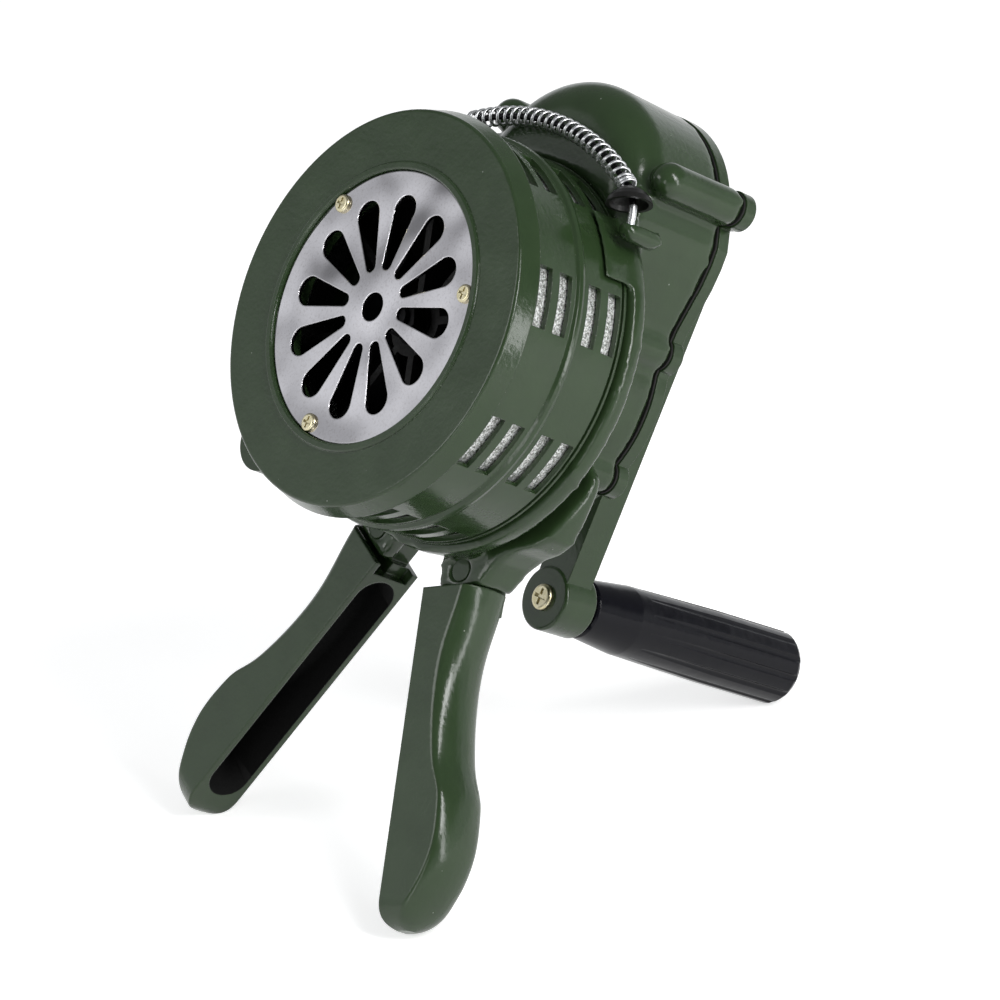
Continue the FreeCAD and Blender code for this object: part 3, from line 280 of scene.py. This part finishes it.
rough = add(bare_cast, "ShaderNodeMapRange", {
    "Value": grain, "From Min": 0.3, "From Max": 0.7, "To Min": 0.4, "To Max": 0.62})
pits = add(bare_cast, "ShaderNodeBump", {
    "Strength": 0.8, "Distance": 0.4 * MM, "Height": grain})
feed(bare_cast, shader, Base_Color=bare_rim_and_painted_shade.outputs[COLOUR_OUT], Metallic=rim,
     Roughness=rough.outputs["Result"], Normal=pits.outputs["Normal"])
print("bare casting:", bare_cast.name)

# %% [markdown]
# The grille is a pressed steel disc, chromed and polished. Chrome is a near-perfect mirror,
# so all that it shows is the room. What makes it believable is that pressed sheet is never
# quite flat: slow waves of 34 mm bend the reflections, and hairline polishing marks blur
# them a little.

# %% Chromed sheet steel
SHEET_WAVE = 34.0        # mm from wave to wave
SHEET_DEPTH = 3.5        # mm that the shading takes a wave to be deep; the real one is less

chrome, shader, place = start("chromed_sheet_steel", "#c6c4c8", 0.07, metallic=1.0)
sheet_wave = add(chrome, "ShaderNodeTexNoise", {
    "Vector": place, "Scale": per_mm(SHEET_WAVE), "Detail": 1.0}).outputs["Fac"]
hairline = add(chrome, "ShaderNodeTexNoise", {
    "Vector": place, "Scale": per_mm(1.1), "Detail": 4.0, "Roughness": 0.8}).outputs["Fac"]
rough = add(chrome, "ShaderNodeMapRange", {
    "Value": hairline, "From Min": 0.35, "From Max": 0.75, "To Min": 0.05, "To Max": 0.14})
edge_soft = add(chrome, "ShaderNodeBevel", {"Radius": 0.6 * MM}, samples=6)
warp = add(chrome, "ShaderNodeBump", {
    "Strength": 1.0, "Distance": SHEET_DEPTH * MM, "Height": sheet_wave,
    "Normal": edge_soft.outputs["Normal"]})
stain = add(chrome, "ShaderNodeMapRange", {
    "Value": hairline, "From Min": 0.5, "From Max": 0.75, "To Max": 0.45})
tone = add(chrome, "ShaderNodeMix", {
    "Factor": stain.outputs["Result"], COLOUR_A: linear("#c6c4c8"),
    COLOUR_B: linear("#8c8784")}, data_type="RGBA")
feed(chrome, shader, Base_Color=tone.outputs[COLOUR_OUT],
     Roughness=rough.outputs["Result"], Normal=warp.outputs["Normal"])
print("chrome:", chrome.name)

# %% [markdown]
# The spring and the crimped sleeves are bright plated steel. The wire is only a millimetre
# thick, so its finish shows as a clean highlight broken by faint drawing marks.

# %% Plated spring steel
spring_steel, shader, place = start("plated_spring_steel", "#d8dadc", 0.22, metallic=1.0)
marks = add(spring_steel, "ShaderNodeTexNoise", {
    "Vector": place, "Scale": per_mm(0.6), "Detail": 3.0}).outputs["Fac"]
tone = add(spring_steel, "ShaderNodeMix", {
    "Factor": marks, COLOUR_A: linear("#c2c4c6"), COLOUR_B: linear("#f0f1f2")},
    data_type="RGBA")
rough = add(spring_steel, "ShaderNodeMapRange", {
    "Value": marks, "From Min": 0.3, "From Max": 0.7, "To Min": 0.24, "To Max": 0.38})
feed(spring_steel, shader, Base_Color=tone.outputs[COLOUR_OUT],
     Roughness=rough.outputs["Result"])
print("spring steel:", spring_steel.name)

# %% [markdown]
# The screws are steel with a yellow chromate over zinc, which gives them the pale straw
# colour that drifts towards grey. Turned shafts, gears and washers stay plain steel: fine
# turning marks run round them, drawn here as stretched noise. The rotor's shaft, washer and
# nut lie deep in the drum, and the cable lies inside the handle's spring, all in shade; that
# shade is painted on them as a steel that is nearly black.

# %% Zinc screws, turned steel, and steel darkened as painted shade
zinc_screw, shader, place = start("yellow_zinc_plated_steel", "#c9bf9a", 0.28,
                                  metallic=1.0)
drift = add(zinc_screw, "ShaderNodeTexNoise", {
    "Vector": place, "Scale": per_mm(2.2), "Detail": 2.0}).outputs["Fac"]
tone = add(zinc_screw, "ShaderNodeMix", {
    "Factor": drift, COLOUR_A: linear("#b3a878"), COLOUR_B: linear("#dcd6c0")},
    data_type="RGBA")
soft = add(zinc_screw, "ShaderNodeBevel", {"Radius": 0.25 * MM}, samples=6)
dents = add(zinc_screw, "ShaderNodeBump", {
    "Strength": 0.3, "Distance": 0.15 * MM, "Height": drift,
    "Normal": soft.outputs["Normal"]})
feed(zinc_screw, shader, Base_Color=tone.outputs[COLOUR_OUT], Normal=dents.outputs["Normal"])

TURNING_STRETCH = 6.0    # how much longer a turning mark is than it is wide

turned_steel, shader, place = start("turned_steel", "#9d9ea0", 0.34, metallic=1.0)
around = add(turned_steel, "ShaderNodeMapping", {
    "Vector": place, "Scale": (1.0, TURNING_STRETCH, TURNING_STRETCH)}).outputs["Vector"]
cuts = add(turned_steel, "ShaderNodeTexNoise", {
    "Vector": around, "Scale": per_mm(2.4), "Detail": 3.0}).outputs["Fac"]
rough = add(turned_steel, "ShaderNodeMapRange", {
    "Value": cuts, "From Min": 0.3, "From Max": 0.7, "To Min": 0.26, "To Max": 0.44})
score = add(turned_steel, "ShaderNodeBump", {
    "Strength": 0.2, "Distance": 0.1 * MM, "Height": cuts})
feed(turned_steel, shader, Roughness=rough.outputs["Result"],
     Normal=score.outputs["Normal"])

# Painted shade: a nearly black steel for the rotor's hub pieces and the cable, which lie in
# shade.
steel_in_painted_shade, shader, place = start("steel_darkened_as_painted_shade", "#161617", 0.45,
                                       metallic=1.0)
scale_marks = add(steel_in_painted_shade, "ShaderNodeTexNoise", {
    "Vector": place, "Scale": per_mm(1.5), "Detail": 3.0}).outputs["Fac"]
tone = add(steel_in_painted_shade, "ShaderNodeMix", {
    "Factor": scale_marks, COLOUR_A: linear("#0e0e0f"), COLOUR_B: linear("#2c2c2d")},
    data_type="RGBA")
feed(steel_in_painted_shade, shader, Base_Color=tone.outputs[COLOUR_OUT])
print("screws:", zinc_screw.name, "steel:", turned_steel.name, steel_in_painted_shade.name)

# %% [markdown]
# The bushes are sintered bronze, soaked in oil: brown rather than golden, with pores as
# fine as the powder they were pressed from.

# %% Sintered bronze
bronze, shader, place = start("sintered_bronze", "#a37b4c", 0.42, metallic=1.0)
pores = add(bronze, "ShaderNodeTexNoise", {
    "Vector": place, "Scale": per_mm(0.5), "Detail": 3.0, "Roughness": 0.8}).outputs["Fac"]
tone = add(bronze, "ShaderNodeMix", {
    "Factor": pores, COLOUR_A: linear("#7d5c38"), COLOUR_B: linear("#b98f5c")},
    data_type="RGBA")
feed(bronze, shader, Base_Color=tone.outputs[COLOUR_OUT])
print("bronze:", bronze.name)

# %% [markdown]
# The crank grip is moulded black plastic with a high gloss. Its highlights are long clean
# streaks that run along the flutes, so the surface is nearly smooth: only a slow sink of
# the thick wall and a little handling haze break them.

# %% Moulded black plastic
grip_black, shader, place = start("moulded_black_plastic", "#0c0c10", 0.14,
                                  Specular_IOR_Level=0.18)
sink = add(grip_black, "ShaderNodeTexNoise", {
    "Vector": place, "Scale": per_mm(9.0), "Detail": 2.0}).outputs["Fac"]
haze = add(grip_black, "ShaderNodeTexNoise", {
    "Vector": place, "Scale": per_mm(1.3), "Detail": 4.0, "Roughness": 0.7}).outputs["Fac"]
rough = add(grip_black, "ShaderNodeMapRange", {
    "Value": haze, "From Min": 0.3, "From Max": 0.7, "To Min": 0.08, "To Max": 0.17})
tone = add(grip_black, "ShaderNodeMix", {
    "Factor": haze, COLOUR_A: linear("#08080d"), COLOUR_B: linear("#111118")},
    data_type="RGBA")
soft = add(grip_black, "ShaderNodeBevel", {"Radius": 0.6 * MM}, samples=6)
flow = add(grip_black, "ShaderNodeBump", {
    "Strength": 0.25, "Distance": 0.6 * MM, "Height": sink,
    "Normal": soft.outputs["Normal"]})
feed(grip_black, shader, Base_Color=tone.outputs[COLOUR_OUT],
     Roughness=rough.outputs["Result"], Normal=flow.outputs["Normal"])
print("grip:", grip_black.name)

# %% [markdown]
# The two cups at the ends of the spring are thin black rubber, a little duller than the
# grip. The hollows of the half grips lie in shade, and a dull black is that shade, painted.
# The gasket is oiled black paper whose fibres take the shine away.

# %% Black rubber, painted shade for the grips' hollows, and gasket paper
cup_rubber, shader, place = start("moulded_black_rubber", "#0f0f0f", 0.36,
                                  Specular_IOR_Level=0.3)
skin = add(cup_rubber, "ShaderNodeTexNoise", {
    "Vector": place, "Scale": per_mm(0.8), "Detail": 3.0}).outputs["Fac"]
tone = add(cup_rubber, "ShaderNodeMix", {
    "Factor": skin, COLOUR_A: linear("#0f0f0f"), COLOUR_B: linear("#1d1d1b")},
    data_type="RGBA")
matt = add(cup_rubber, "ShaderNodeBump", {
    "Strength": 0.25, "Distance": 0.1 * MM, "Height": skin})
feed(cup_rubber, shader, Base_Color=tone.outputs[COLOUR_OUT],
     Normal=matt.outputs["Normal"])

# Painted shade: a dull black for the hollows of the half grips, which lie in shade.
painted_shade_black, shader, place = start("dull_black_lining", "#080808", 0.8,
                                    Specular_IOR_Level=0.2)
shade_sheet_grain = add(painted_shade_black, "ShaderNodeTexNoise", {
    "Vector": place, "Scale": per_mm(1.0), "Detail": 4.0}).outputs["Fac"]
tone = add(painted_shade_black, "ShaderNodeMix", {
    "Factor": shade_sheet_grain, COLOUR_A: linear("#050505"), COLOUR_B: linear("#0f0f0f")},
    data_type="RGBA")
shade_sheet_bump = add(painted_shade_black, "ShaderNodeBump", {
    "Strength": 0.5, "Distance": 0.3 * MM, "Height": shade_sheet_grain})
feed(painted_shade_black, shader, Base_Color=tone.outputs[COLOUR_OUT],
     Normal=shade_sheet_bump.outputs["Normal"])

gasket_paper, shader, place = start("oiled_gasket_paper", "#0e0e0d", 0.7)
fibre = add(gasket_paper, "ShaderNodeTexNoise", {
    "Vector": place, "Scale": per_mm(0.7), "Detail": 4.0}).outputs["Fac"]
tone = add(gasket_paper, "ShaderNodeMix", {
    "Factor": fibre, COLOUR_A: linear("#0a0a09"), COLOUR_B: linear("#1a1917")},
    data_type="RGBA")
feed(gasket_paper, shader, Base_Color=tone.outputs[COLOUR_OUT])
print("black pieces:", cup_rubber.name, painted_shade_black.name, gasket_paper.name)

# %% [markdown]
# Now each CAD node gets its finish. The list goes by finish, so a piece that is missing
# from it is easy to see, and the loop says so.

# %% Dress the CAD nodes
finishes = {
    body_green: ("front_cap", "stator_drum", "gearbox_housing", "gearbox_cover", "crank_arm",
                 "leg_pins"),
    leg_green: ("right_leg", "left_leg"),
    bare_cast: ("rotor",),
    chrome: ("intake_grille",),
    spring_steel: ("handle_spring", "handle_cable", "handle_ferrules"),
    zinc_screw: ("grille_screws", "drum_screws", "cover_screws", "crank_screw",
                 "spindle_screw"),
    steel_in_painted_shade: ("rotor_shaft", "rotor_washer", "rotor_nut"),
    turned_steel: ("rotor_bearings", "rotor_pinion", "layshaft", "layshaft_gear",
                   "layshaft_pinion", "layshaft_spacer", "crank_shaft", "crank_gear",
                   "crank_key", "thrust_washer", "crank_washer", "grip_washer", "grip_nut",
                   "leg_circlips"),
    bronze: ("layshaft_bushes", "crank_bushes"),
    grip_black: ("crank_grip",),
    cup_rubber: ("handle_cups",),
    gasket_paper: ("cover_gasket",),
}
dressed = set()
for finish, names in finishes.items():
    for name in names:
        mesh = nodes[name].data
        mesh.materials.clear()
        mesh.materials.append(finish)
        dressed.add(name)
print("dressed:", len(dressed), "left bare:", sorted(set(nodes) - dressed))

# %% [markdown]
# The gearbox is one sand casting, and a casting has no sharp inner corners: where the dome,
# the screw columns and the lugs meet the flange, the metal flows from one into the other.
# The CAD solid meets in sharp corners there. A voxel remesh turns a copy of it into an even
# net, and smoothing the net only near its inner corners fills them in, while the outer
# edges keep their place. A second, light smoothing rounds what the net has left stepped.
# A Decimate modifier then takes out the points that the flat stretches don't need.

# %% The gearbox casting with its fillets
VOXEL = 0.9              # mm between the net's points
INNER_CORNER = math.radians(-16)
FILLET_RINGS = 4         # how many rows of the net each side of an inner corner flow
FILLET_ROUNDS = 18
LIGHT_ROUNDS = 2
SKIN_SINK = 0.12         # mm that the skin lies below the solid, so nothing new touches it
TRIANGLE_GOAL = 180000   # what the thinned net may have


def finished_mesh(thing):
    """The mesh that an object has once its modifiers or its bevel have shaped it."""
    bpy.context.view_layer.update()
    graph = bpy.context.evaluated_depsgraph_get()
    return bpy.data.meshes.new_from_object(thing.evaluated_get(graph))


def even_net(name, node):
    """A copy of a CAD node as a closed net of equal squares."""
    joined = bmesh.new()
    joined.from_mesh(nodes[node].data)
    bmesh.ops.remove_doubles(joined, verts=joined.verts, dist=0.001 * MM)
    mesh = bpy.data.meshes.new(name)
    joined.to_mesh(mesh)
    joined.free()
    rough_piece = put(name, mesh)
    remesh = rough_piece.modifiers.new("net", "REMESH")
    remesh.mode = "VOXEL"
    remesh.voxel_size = VOXEL * MM
    net = finished_mesh(rough_piece)
    bpy.data.objects.remove(rough_piece)
    return net


def near_inner_corners(net):
    """The net's points within some rows of an edge that turns inwards."""
    chosen = set()
    for edge in net.edges:
        if edge.is_manifold and edge.calc_face_angle_signed(0.0) < INNER_CORNER:
            chosen.update(edge.verts)
    for _ in range(FILLET_RINGS):
        chosen.update([edge.other_vert(vert) for vert in chosen for edge in vert.link_edges])
    return list(chosen)


def relax(net, verts, rounds):
    """Smooths some points of a net, halfway to their neighbours' middle each round."""
    for _ in range(rounds):
        bmesh.ops.smooth_vert(net, verts=verts, factor=0.5, use_axis_x=True,
                              use_axis_y=True, use_axis_z=True)


casting_mesh = even_net("gearbox_casting", "gearbox_housing")
casting = bmesh.new()
casting.from_mesh(casting_mesh)
relax(casting, near_inner_corners(casting), FILLET_ROUNDS)
relax(casting, casting.verts, LIGHT_ROUNDS)
casting.normal_update()
for vert in casting.verts:
    vert.co -= vert.normal * SKIN_SINK * MM
casting.to_mesh(casting_mesh)
net_triangles = 2 * len(casting.faces)
casting.free()

gearbox = put("gearbox_casting", casting_mesh)
thinner = gearbox.modifiers.new("thinner", "DECIMATE")
thinner.ratio = min(1.0, TRIANGLE_GOAL / net_triangles)
gearbox.data = finished_mesh(gearbox)
gearbox.modifiers.clear()
gearbox.data.shade_smooth()
gearbox.data.materials.append(body_green)
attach(gearbox, "housing")
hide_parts("gearbox_housing")
print("casting:", net_triangles, "triangles, thinned to", len(gearbox.data.polygons),
      "faces")

# %% [markdown]
# The handle's spring is a real helix: a wire 1.2 mm thick wound 28 times round the cable,
# along an arch. A curve with a round bevel is the natural tool, because the wire's path is
# one formula, and the curve keeps its thickness even through the turns. The last turns lie
# closed against each other, as the ends of a wound spring do.

# %% Carry handle: the spring
ARCH_RADIUS = 103.5      # lengths are in mm
ARCH_HALF = math.radians(26.4)
HANDLE_TOP = 85.0        # the arch's top above the drum's axis
HANDLE_Y = 48.0          # its depth behind the drum's front
SPRING_RADIUS = 3.15     # to the middle of the wire
SPRING_WIRE = 0.6        # the wire's own radius
SPRING_TURNS = 28
CLOSED_TURNS = 2         # at each end
CLOSED_PITCH = 1.04      # how far apart they lie, in wire thicknesses
POINTS_PER_TURN = 20


def arch_point(angle):
    """A point of the handle's arch, in millimetres of the drawing, and its way outwards."""
    out = Vector((math.sin(angle), 0, math.cos(angle)))
    return Vector((0, HANDLE_Y, HANDLE_TOP - ARCH_RADIUS)) + out * ARCH_RADIUS, out


def curve_piece(name, points, radius=None, profile=None, tilts=None):
    """A mesh swept along points of the drawing: round with a radius, or with a profile."""
    data = bpy.data.curves.new(name, "CURVE")
    data.dimensions = "3D"
    data.use_fill_caps = True
    data.bevel_resolution = 3
    if profile:
        data.bevel_mode = "OBJECT"
        data.bevel_object = profile
    else:
        data.bevel_depth = radius * MM
    spline = data.splines.new("POLY")
    spline.points.add(len(points) - 1)
    for i, point in enumerate(points):
        spline.points[i].co = (*(standing @ (point * MM)), 1)
        if tilts:
            spline.points[i].tilt = tilts[i]
    swept = put(name + "_path", data)
    mesh = finished_mesh(swept)
    bpy.data.objects.remove(swept)
    mesh.shade_smooth()
    return put(name, mesh)


def coil_angle(turn):
    """Where a turn lies on the arch: even in the middle, closed up at the two ends."""
    closed_step = 2 * SPRING_WIRE * CLOSED_PITCH / ARCH_RADIUS
    open_start = -ARCH_HALF + CLOSED_TURNS * closed_step
    if turn < CLOSED_TURNS:
        return -ARCH_HALF + turn * closed_step
    if turn > SPRING_TURNS - CLOSED_TURNS:
        return ARCH_HALF - (SPRING_TURNS - turn) * closed_step
    share = (turn - CLOSED_TURNS) / (SPRING_TURNS - 2 * CLOSED_TURNS)
    return open_start * (1 - 2 * share)


helix = []
for i in range(SPRING_TURNS * POINTS_PER_TURN + 1):
    turn = i / POINTS_PER_TURN
    centre, out = arch_point(coil_angle(turn))
    angle = 2 * math.pi * turn
    helix.append(centre + out * (SPRING_RADIUS * math.cos(angle))
                 + Vector((0, 1, 0)) * (SPRING_RADIUS * math.sin(angle)))
spring = curve_piece("wound_spring", helix, SPRING_WIRE)
spring.data.materials.append(spring_steel)
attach(spring, "housing")
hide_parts("handle_spring")
print("spring:", len(spring.data.polygons), "faces")

# %% [markdown]
# The cable inside the spring is six strands laid round each other. Seen from outside that
# is one rod with six soft lobes which turn as they go along. So a curve is swept along the
# same arch with a six-lobed profile, and its tilt adds the lay of the rope, one turn in
# nine millimetres.

# %% Carry handle: the cable
BEND_RADIUS = 16.0       # lengths are in mm
BEND_END = math.radians(75.0)
TAIL = 3.6               # the straight end below the cup
ARCH_STEPS = 40          # along half the arch, then along the bend and the tail
BEND_STEPS = 14
TAIL_STEPS = 3
CABLE_RADIUS = 1.3
STRANDS = 6
STRAND_POINTS = 6        # points of the outline for each strand
STRAND_DEPTH = 0.14      # how deep the valley between two strands is, in radii
ROPE_LAY = 9.0           # one turn of the strands


def cable_route():
    """The cable from its left end over the arch to its right end, in the drawing."""
    half = [arch_point(ARCH_HALF * i / ARCH_STEPS)[0] for i in range(ARCH_STEPS + 1)]
    end, out = arch_point(ARCH_HALF)
    middle = end - out * BEND_RADIUS
    for i in range(1, BEND_STEPS + 1):
        angle = ARCH_HALF + (BEND_END - ARCH_HALF) * i / BEND_STEPS
        half.append(middle + Vector((math.sin(angle), 0, math.cos(angle))) * BEND_RADIUS)
    heading = Vector((math.cos(BEND_END), 0, -math.sin(BEND_END)))
    last = half[-1]
    half += [last + heading * TAIL * i / TAIL_STEPS for i in range(1, TAIL_STEPS + 1)]
    mirrored = [Vector((-p.x, p.y, p.z)) for p in reversed(half[1:])]
    return mirrored + half


def strand_profile():
    """A closed six-lobed outline, the rope's cross section."""
    data = bpy.data.curves.new("strand_profile", "CURVE")
    data.dimensions = "2D"
    count = STRANDS * STRAND_POINTS
    spline = data.splines.new("POLY")
    spline.points.add(count - 1)
    for i in range(count):
        angle = 2 * math.pi * i / count
        swell = abs(math.cos(STRANDS * angle / 2))
        radius = CABLE_RADIUS * (1 - STRAND_DEPTH * (1 - swell)) * MM
        spline.points[i].co = (radius * math.cos(angle), radius * math.sin(angle), 0, 1)
    spline.use_cyclic_u = True
    return put("strand_profile", data)


route = cable_route()
run = [0.0]
for before, after in zip(route, route[1:]):
    run.append(run[-1] + (after - before).length)
profile = strand_profile()
cable = curve_piece("stranded_cable", route, profile=profile,
                    tilts=[2 * math.pi * length / ROPE_LAY for length in run])
bpy.data.objects.remove(profile)
# The cable inside the spring takes the painted shade.
cable.data.materials.append(steel_in_painted_shade)
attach(cable, "housing")
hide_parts("handle_cable")
print("cable:", round(run[-1], 1), "mm long,", len(cable.data.polygons), "faces")

# %% [markdown]
# A bright sleeve is crimped on each end of the cable. It shows between the black cup and the
# lug, and goes on into the lug's hole, where the CAD ferrule sits. The rope's own route
# gives its way, so it bends as the cable does there.

# %% Carry handle: the crimped sleeves
SLEEVE_RADIUS = 1.5
SLEEVE_POINTS = 9        # of the route, from below the cup to its end
SLEEVE_IN_LUG = 3.4      # mm beyond the route's end

sleeve_path = route[-SLEEVE_POINTS:]
inwards = (sleeve_path[-1] - sleeve_path[-2]).normalized()
sleeve_path.append(sleeve_path[-1] + inwards * SLEEVE_IN_LUG)
for side, name in ((1, "right_sleeve"), (-1, "left_sleeve")):
    sleeve = curve_piece(name, [Vector((side * p.x, p.y, p.z)) for p in sleeve_path],
                         SLEEVE_RADIUS)
    sleeve.data.materials.append(spring_steel)
    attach(sleeve, "housing")
    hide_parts("handle_ferrules")
    print(name, len(sleeve.data.polygons), "faces")

# %% [markdown]
# Each half grip is a hollow casting, open on its flat side, and its hollow lies in shade.
# That shade is painted as a thin dull black sheet. The sheet follows the casting's own inner
# faces, so they are picked from a copy of the leg by where they lie and which way they look,
# lifted a little, and given a thickness. The leg's plane has its own two directions: w across
# the grip and s down along it.

# %% Painted shade in the hollows of the half grips
LEG_SPREAD = math.radians(22.5)
LEG_TOP = Vector((13.7, 72.1, -84.0))    # the flat side's upper end, mid-depth
HOLLOW_HALF = 8.8                        # in mm too; a little more than its half width
HOLLOW_START = 7.6                       # along s
HOLLOW_END = 116.0
HOLLOW_MOUTH = 0.3                       # how far in from the flat side the lining starts
OUTER_LOOK = 0.5                         # faces that look further along w are the outside's
LIFT = 0.15
SHADE_SHEET_THICKNESS = 0.2


def in_hollow(face, leg_way):
    """Whether a face of a leg lies in its hollow, with leg_way taking it to w, y, s."""
    w, y, s = leg_way @ face.calc_center_median()
    look = (leg_way.to_3x3() @ face.normal).normalized()
    inside = w > HOLLOW_MOUTH and abs(y) < HOLLOW_HALF and HOLLOW_START < s < HOLLOW_END
    return inside and look.x < OUTER_LOOK


def painted_shade_sheet(name, node, body, side):
    """A thin black skin on the hollow of one leg, its painted shade. Side is 1 for the right
    one, -1 for the left.
    """
    w_axis = Vector((side * math.cos(LEG_SPREAD), 0, math.sin(LEG_SPREAD)))
    s_axis = Vector((side * math.sin(LEG_SPREAD), 0, -math.cos(LEG_SPREAD)))
    top = Vector((side * LEG_TOP.x, LEG_TOP.y, LEG_TOP.z))
    plane = Matrix.Translation(top) @ Matrix(
        (w_axis, Vector((0, 1, 0)), s_axis)).transposed().to_4x4()
    leg_way = plane.inverted() @ Matrix.Scale(1 / MM, 4) @ standing.inverted()
    shade_sheet = bmesh.new()
    shade_sheet.from_mesh(nodes[node].data)
    bmesh.ops.remove_doubles(shade_sheet, verts=shade_sheet.verts, dist=0.001 * MM)
    shade_sheet.normal_update()
    outside = [face for face in shade_sheet.faces if not in_hollow(face, leg_way)]
    bmesh.ops.delete(shade_sheet, geom=outside, context="FACES")
    shade_sheet.normal_update()
    for vert in shade_sheet.verts:
        vert.co += vert.normal * LIFT * MM
    bmesh.ops.solidify(shade_sheet, geom=shade_sheet.faces[:], thickness=SHADE_SHEET_THICKNESS * MM / 2)
    bmesh.ops.recalc_face_normals(shade_sheet, faces=shade_sheet.faces)
    mesh = bpy.data.meshes.new(name)
    shade_sheet.to_mesh(mesh)
    shade_sheet.free()
    piece = put(name, mesh)
    mesh.materials.append(painted_shade_black)
    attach(piece, body)
    return piece


for side, leg in ((1, "right_leg"), (-1, "left_leg")):
    shade_sheet = painted_shade_sheet(leg + "_lining", leg, leg, side)
    print(shade_sheet.name, len(shade_sheet.data.polygons), "faces")

# %% [markdown]
# The floor is a plain pale disc, wide enough to fill the view from every side. The camera
# sees it lit by a faint glow of its own, so that it reads as white paper, and it still
# takes the siren's shadow.

# %% Floor
FLOOR_GLOW = 0.6
FLOOR_RADIUS = 6.0       # metres

floor_mesh = bpy.data.meshes.new("studio_floor")
shape = bmesh.new()
bmesh.ops.create_circle(shape, cap_ends=True, segments=96, radius=FLOOR_RADIUS)
shape.to_mesh(floor_mesh)
shape.free()
floor = put("studio_floor", floor_mesh)

paper, shader, place = start("white_studio_paper", "#f4f4f4", 0.95)
tooth = add(paper, "ShaderNodeTexNoise", {
    "Vector": place, "Scale": per_mm(4.0), "Detail": 2.0}).outputs["Fac"]
rays = add(paper, "ShaderNodeLightPath")
straight = add(paper, "ShaderNodeMath", {
    0: rays.outputs["Is Camera Ray"], 1: rays.outputs["Is Glossy Ray"]}, operation="MAXIMUM")
glow = add(paper, "ShaderNodeMath", {
    0: straight.outputs["Value"], 1: rays.outputs["Is Transmission Ray"]}, operation="MAXIMUM")
strength = add(paper, "ShaderNodeMath", {0: glow.outputs["Value"], 1: FLOOR_GLOW},
               operation="MULTIPLY")
shader.inputs["Emission Color"].default_value = (1, 1, 1, 1)
weave = add(paper, "ShaderNodeBump", {
    "Strength": 0.05, "Distance": 0.2 * MM, "Height": tooth})
feed(paper, shader, Emission_Strength=strength.outputs["Value"],
     Normal=weave.outputs["Normal"])
floor_mesh.materials.append(paper)
print("floor:", floor.name)

# %% [markdown]
# Glossy paint and chrome are seen through what they reflect. Four soft panels do most of it:
# a key light high on the right, whose reflection makes the long streaks down the leg and the
# grip, a low one beside it for the drum's ridges and right edges, and weaker ones on the left
# and in front.

# %% Lights
SIREN_MIDDLE = (0, 0, 0.14)


def soft_panel(name, place, target, size, power):
    """An oblong area light that faces its target. Sizes are in metres, power in watts."""
    data = bpy.data.lights.new(name, "AREA")
    data.shape = "RECTANGLE"
    data.size, data.size_y = size
    data.energy = power
    panel = put(name, data)
    panel.location = place
    look = Vector(target) - Vector(place)
    panel.rotation_euler = look.to_track_quat("-Z", "Y").to_euler()
    panel.visible_camera = False


soft_panel("key_panel", (1.5, 0.15, 1.5), SIREN_MIDDLE, (0.35, 1.2), 20)
soft_panel("fill_panel", (-0.9, -1.6, 1.1), SIREN_MIDDLE, (0.8, 0.8), 7)
soft_panel("side_panel", (1.75, 0.45, 0.6), SIREN_MIDDLE, (0.3, 1.6), 12)
soft_panel("front_panel", (0.9, -1.9, 0.5), SIREN_MIDDLE, (0.22, 1.3), 5)
print("panels:", [lamp.name for lamp in bpy.data.lights])

# %% [markdown]
# The room around the siren is an even grey to matt surfaces. What the camera and mirrors see
# of it is a low white wall, a dim ceiling, and a large white card on the left whose soft edge
# lies where the grille looks: chrome that reflects one even grey looks like grey paint.

# %% Room
ROOM_LIGHT = 0.3         # what matt surfaces get from the room
CEILING = 0.28           # how bright the ceiling is where it is mirrored
WALL_FADE = (0.15, 0.3)  # how far up one looks where the wall starts to fade, and is gone
CARD_WAY = Vector((-0.62, -0.78, 0.12)).normalized()     # towards the white card on the left
CARD_EDGES = [math.radians(a) for a in (13.0, 27.0)]     # where it starts to fade, is gone
CARD_LIGHT = 1.1

room = bpy.data.worlds.new("pale_studio_room")
bpy.context.scene.world = room
room.use_nodes = True
rays = add(room, "ShaderNodeLightPath")
straight = add(room, "ShaderNodeMath", {
    0: rays.outputs["Is Camera Ray"], 1: rays.outputs["Is Glossy Ray"]}, operation="MAXIMUM")
seen = add(room, "ShaderNodeMath", {
    0: straight.outputs["Value"], 1: rays.outputs["Is Transmission Ray"]}, operation="MAXIMUM")
look = add(room, "ShaderNodeTexCoord").outputs["Generated"]
height = add(room, "ShaderNodeSeparateXYZ", {"Vector": look}).outputs["Z"]
wall = add(room, "ShaderNodeMapRange", {
    "Value": height, "From Min": WALL_FADE[0], "From Max": WALL_FADE[1],
    "To Min": 1.0, "To Max": 0.0})
beside = add(room, "ShaderNodeVectorMath", {0: look, 1: CARD_WAY},
             operation="DOT_PRODUCT").outputs["Value"]
ceiling = add(room, "ShaderNodeMapRange", {
    "Value": beside, "From Min": math.cos(CARD_EDGES[1]), "From Max": math.cos(CARD_EDGES[0]),
    "To Min": CEILING, "To Max": CARD_LIGHT})
looked = add(room, "ShaderNodeMix", {
    "Factor": wall.outputs["Result"], NUMBER_A: ceiling.outputs["Result"], NUMBER_B: 1.0})
level = add(room, "ShaderNodeMix", {
    "Factor": seen.outputs["Value"], NUMBER_A: ROOM_LIGHT,
    NUMBER_B: looked.outputs[NUMBER_OUT]})
backdrop = room.node_tree.nodes["Background"]
room.node_tree.links.new(level.outputs[NUMBER_OUT], backdrop.inputs["Strength"])
backdrop.inputs["Color"].default_value = (0.96, 0.98, 1.0, 1)

bpy.context.scene.view_settings.view_transform = "Standard"
print("room:", room.name)
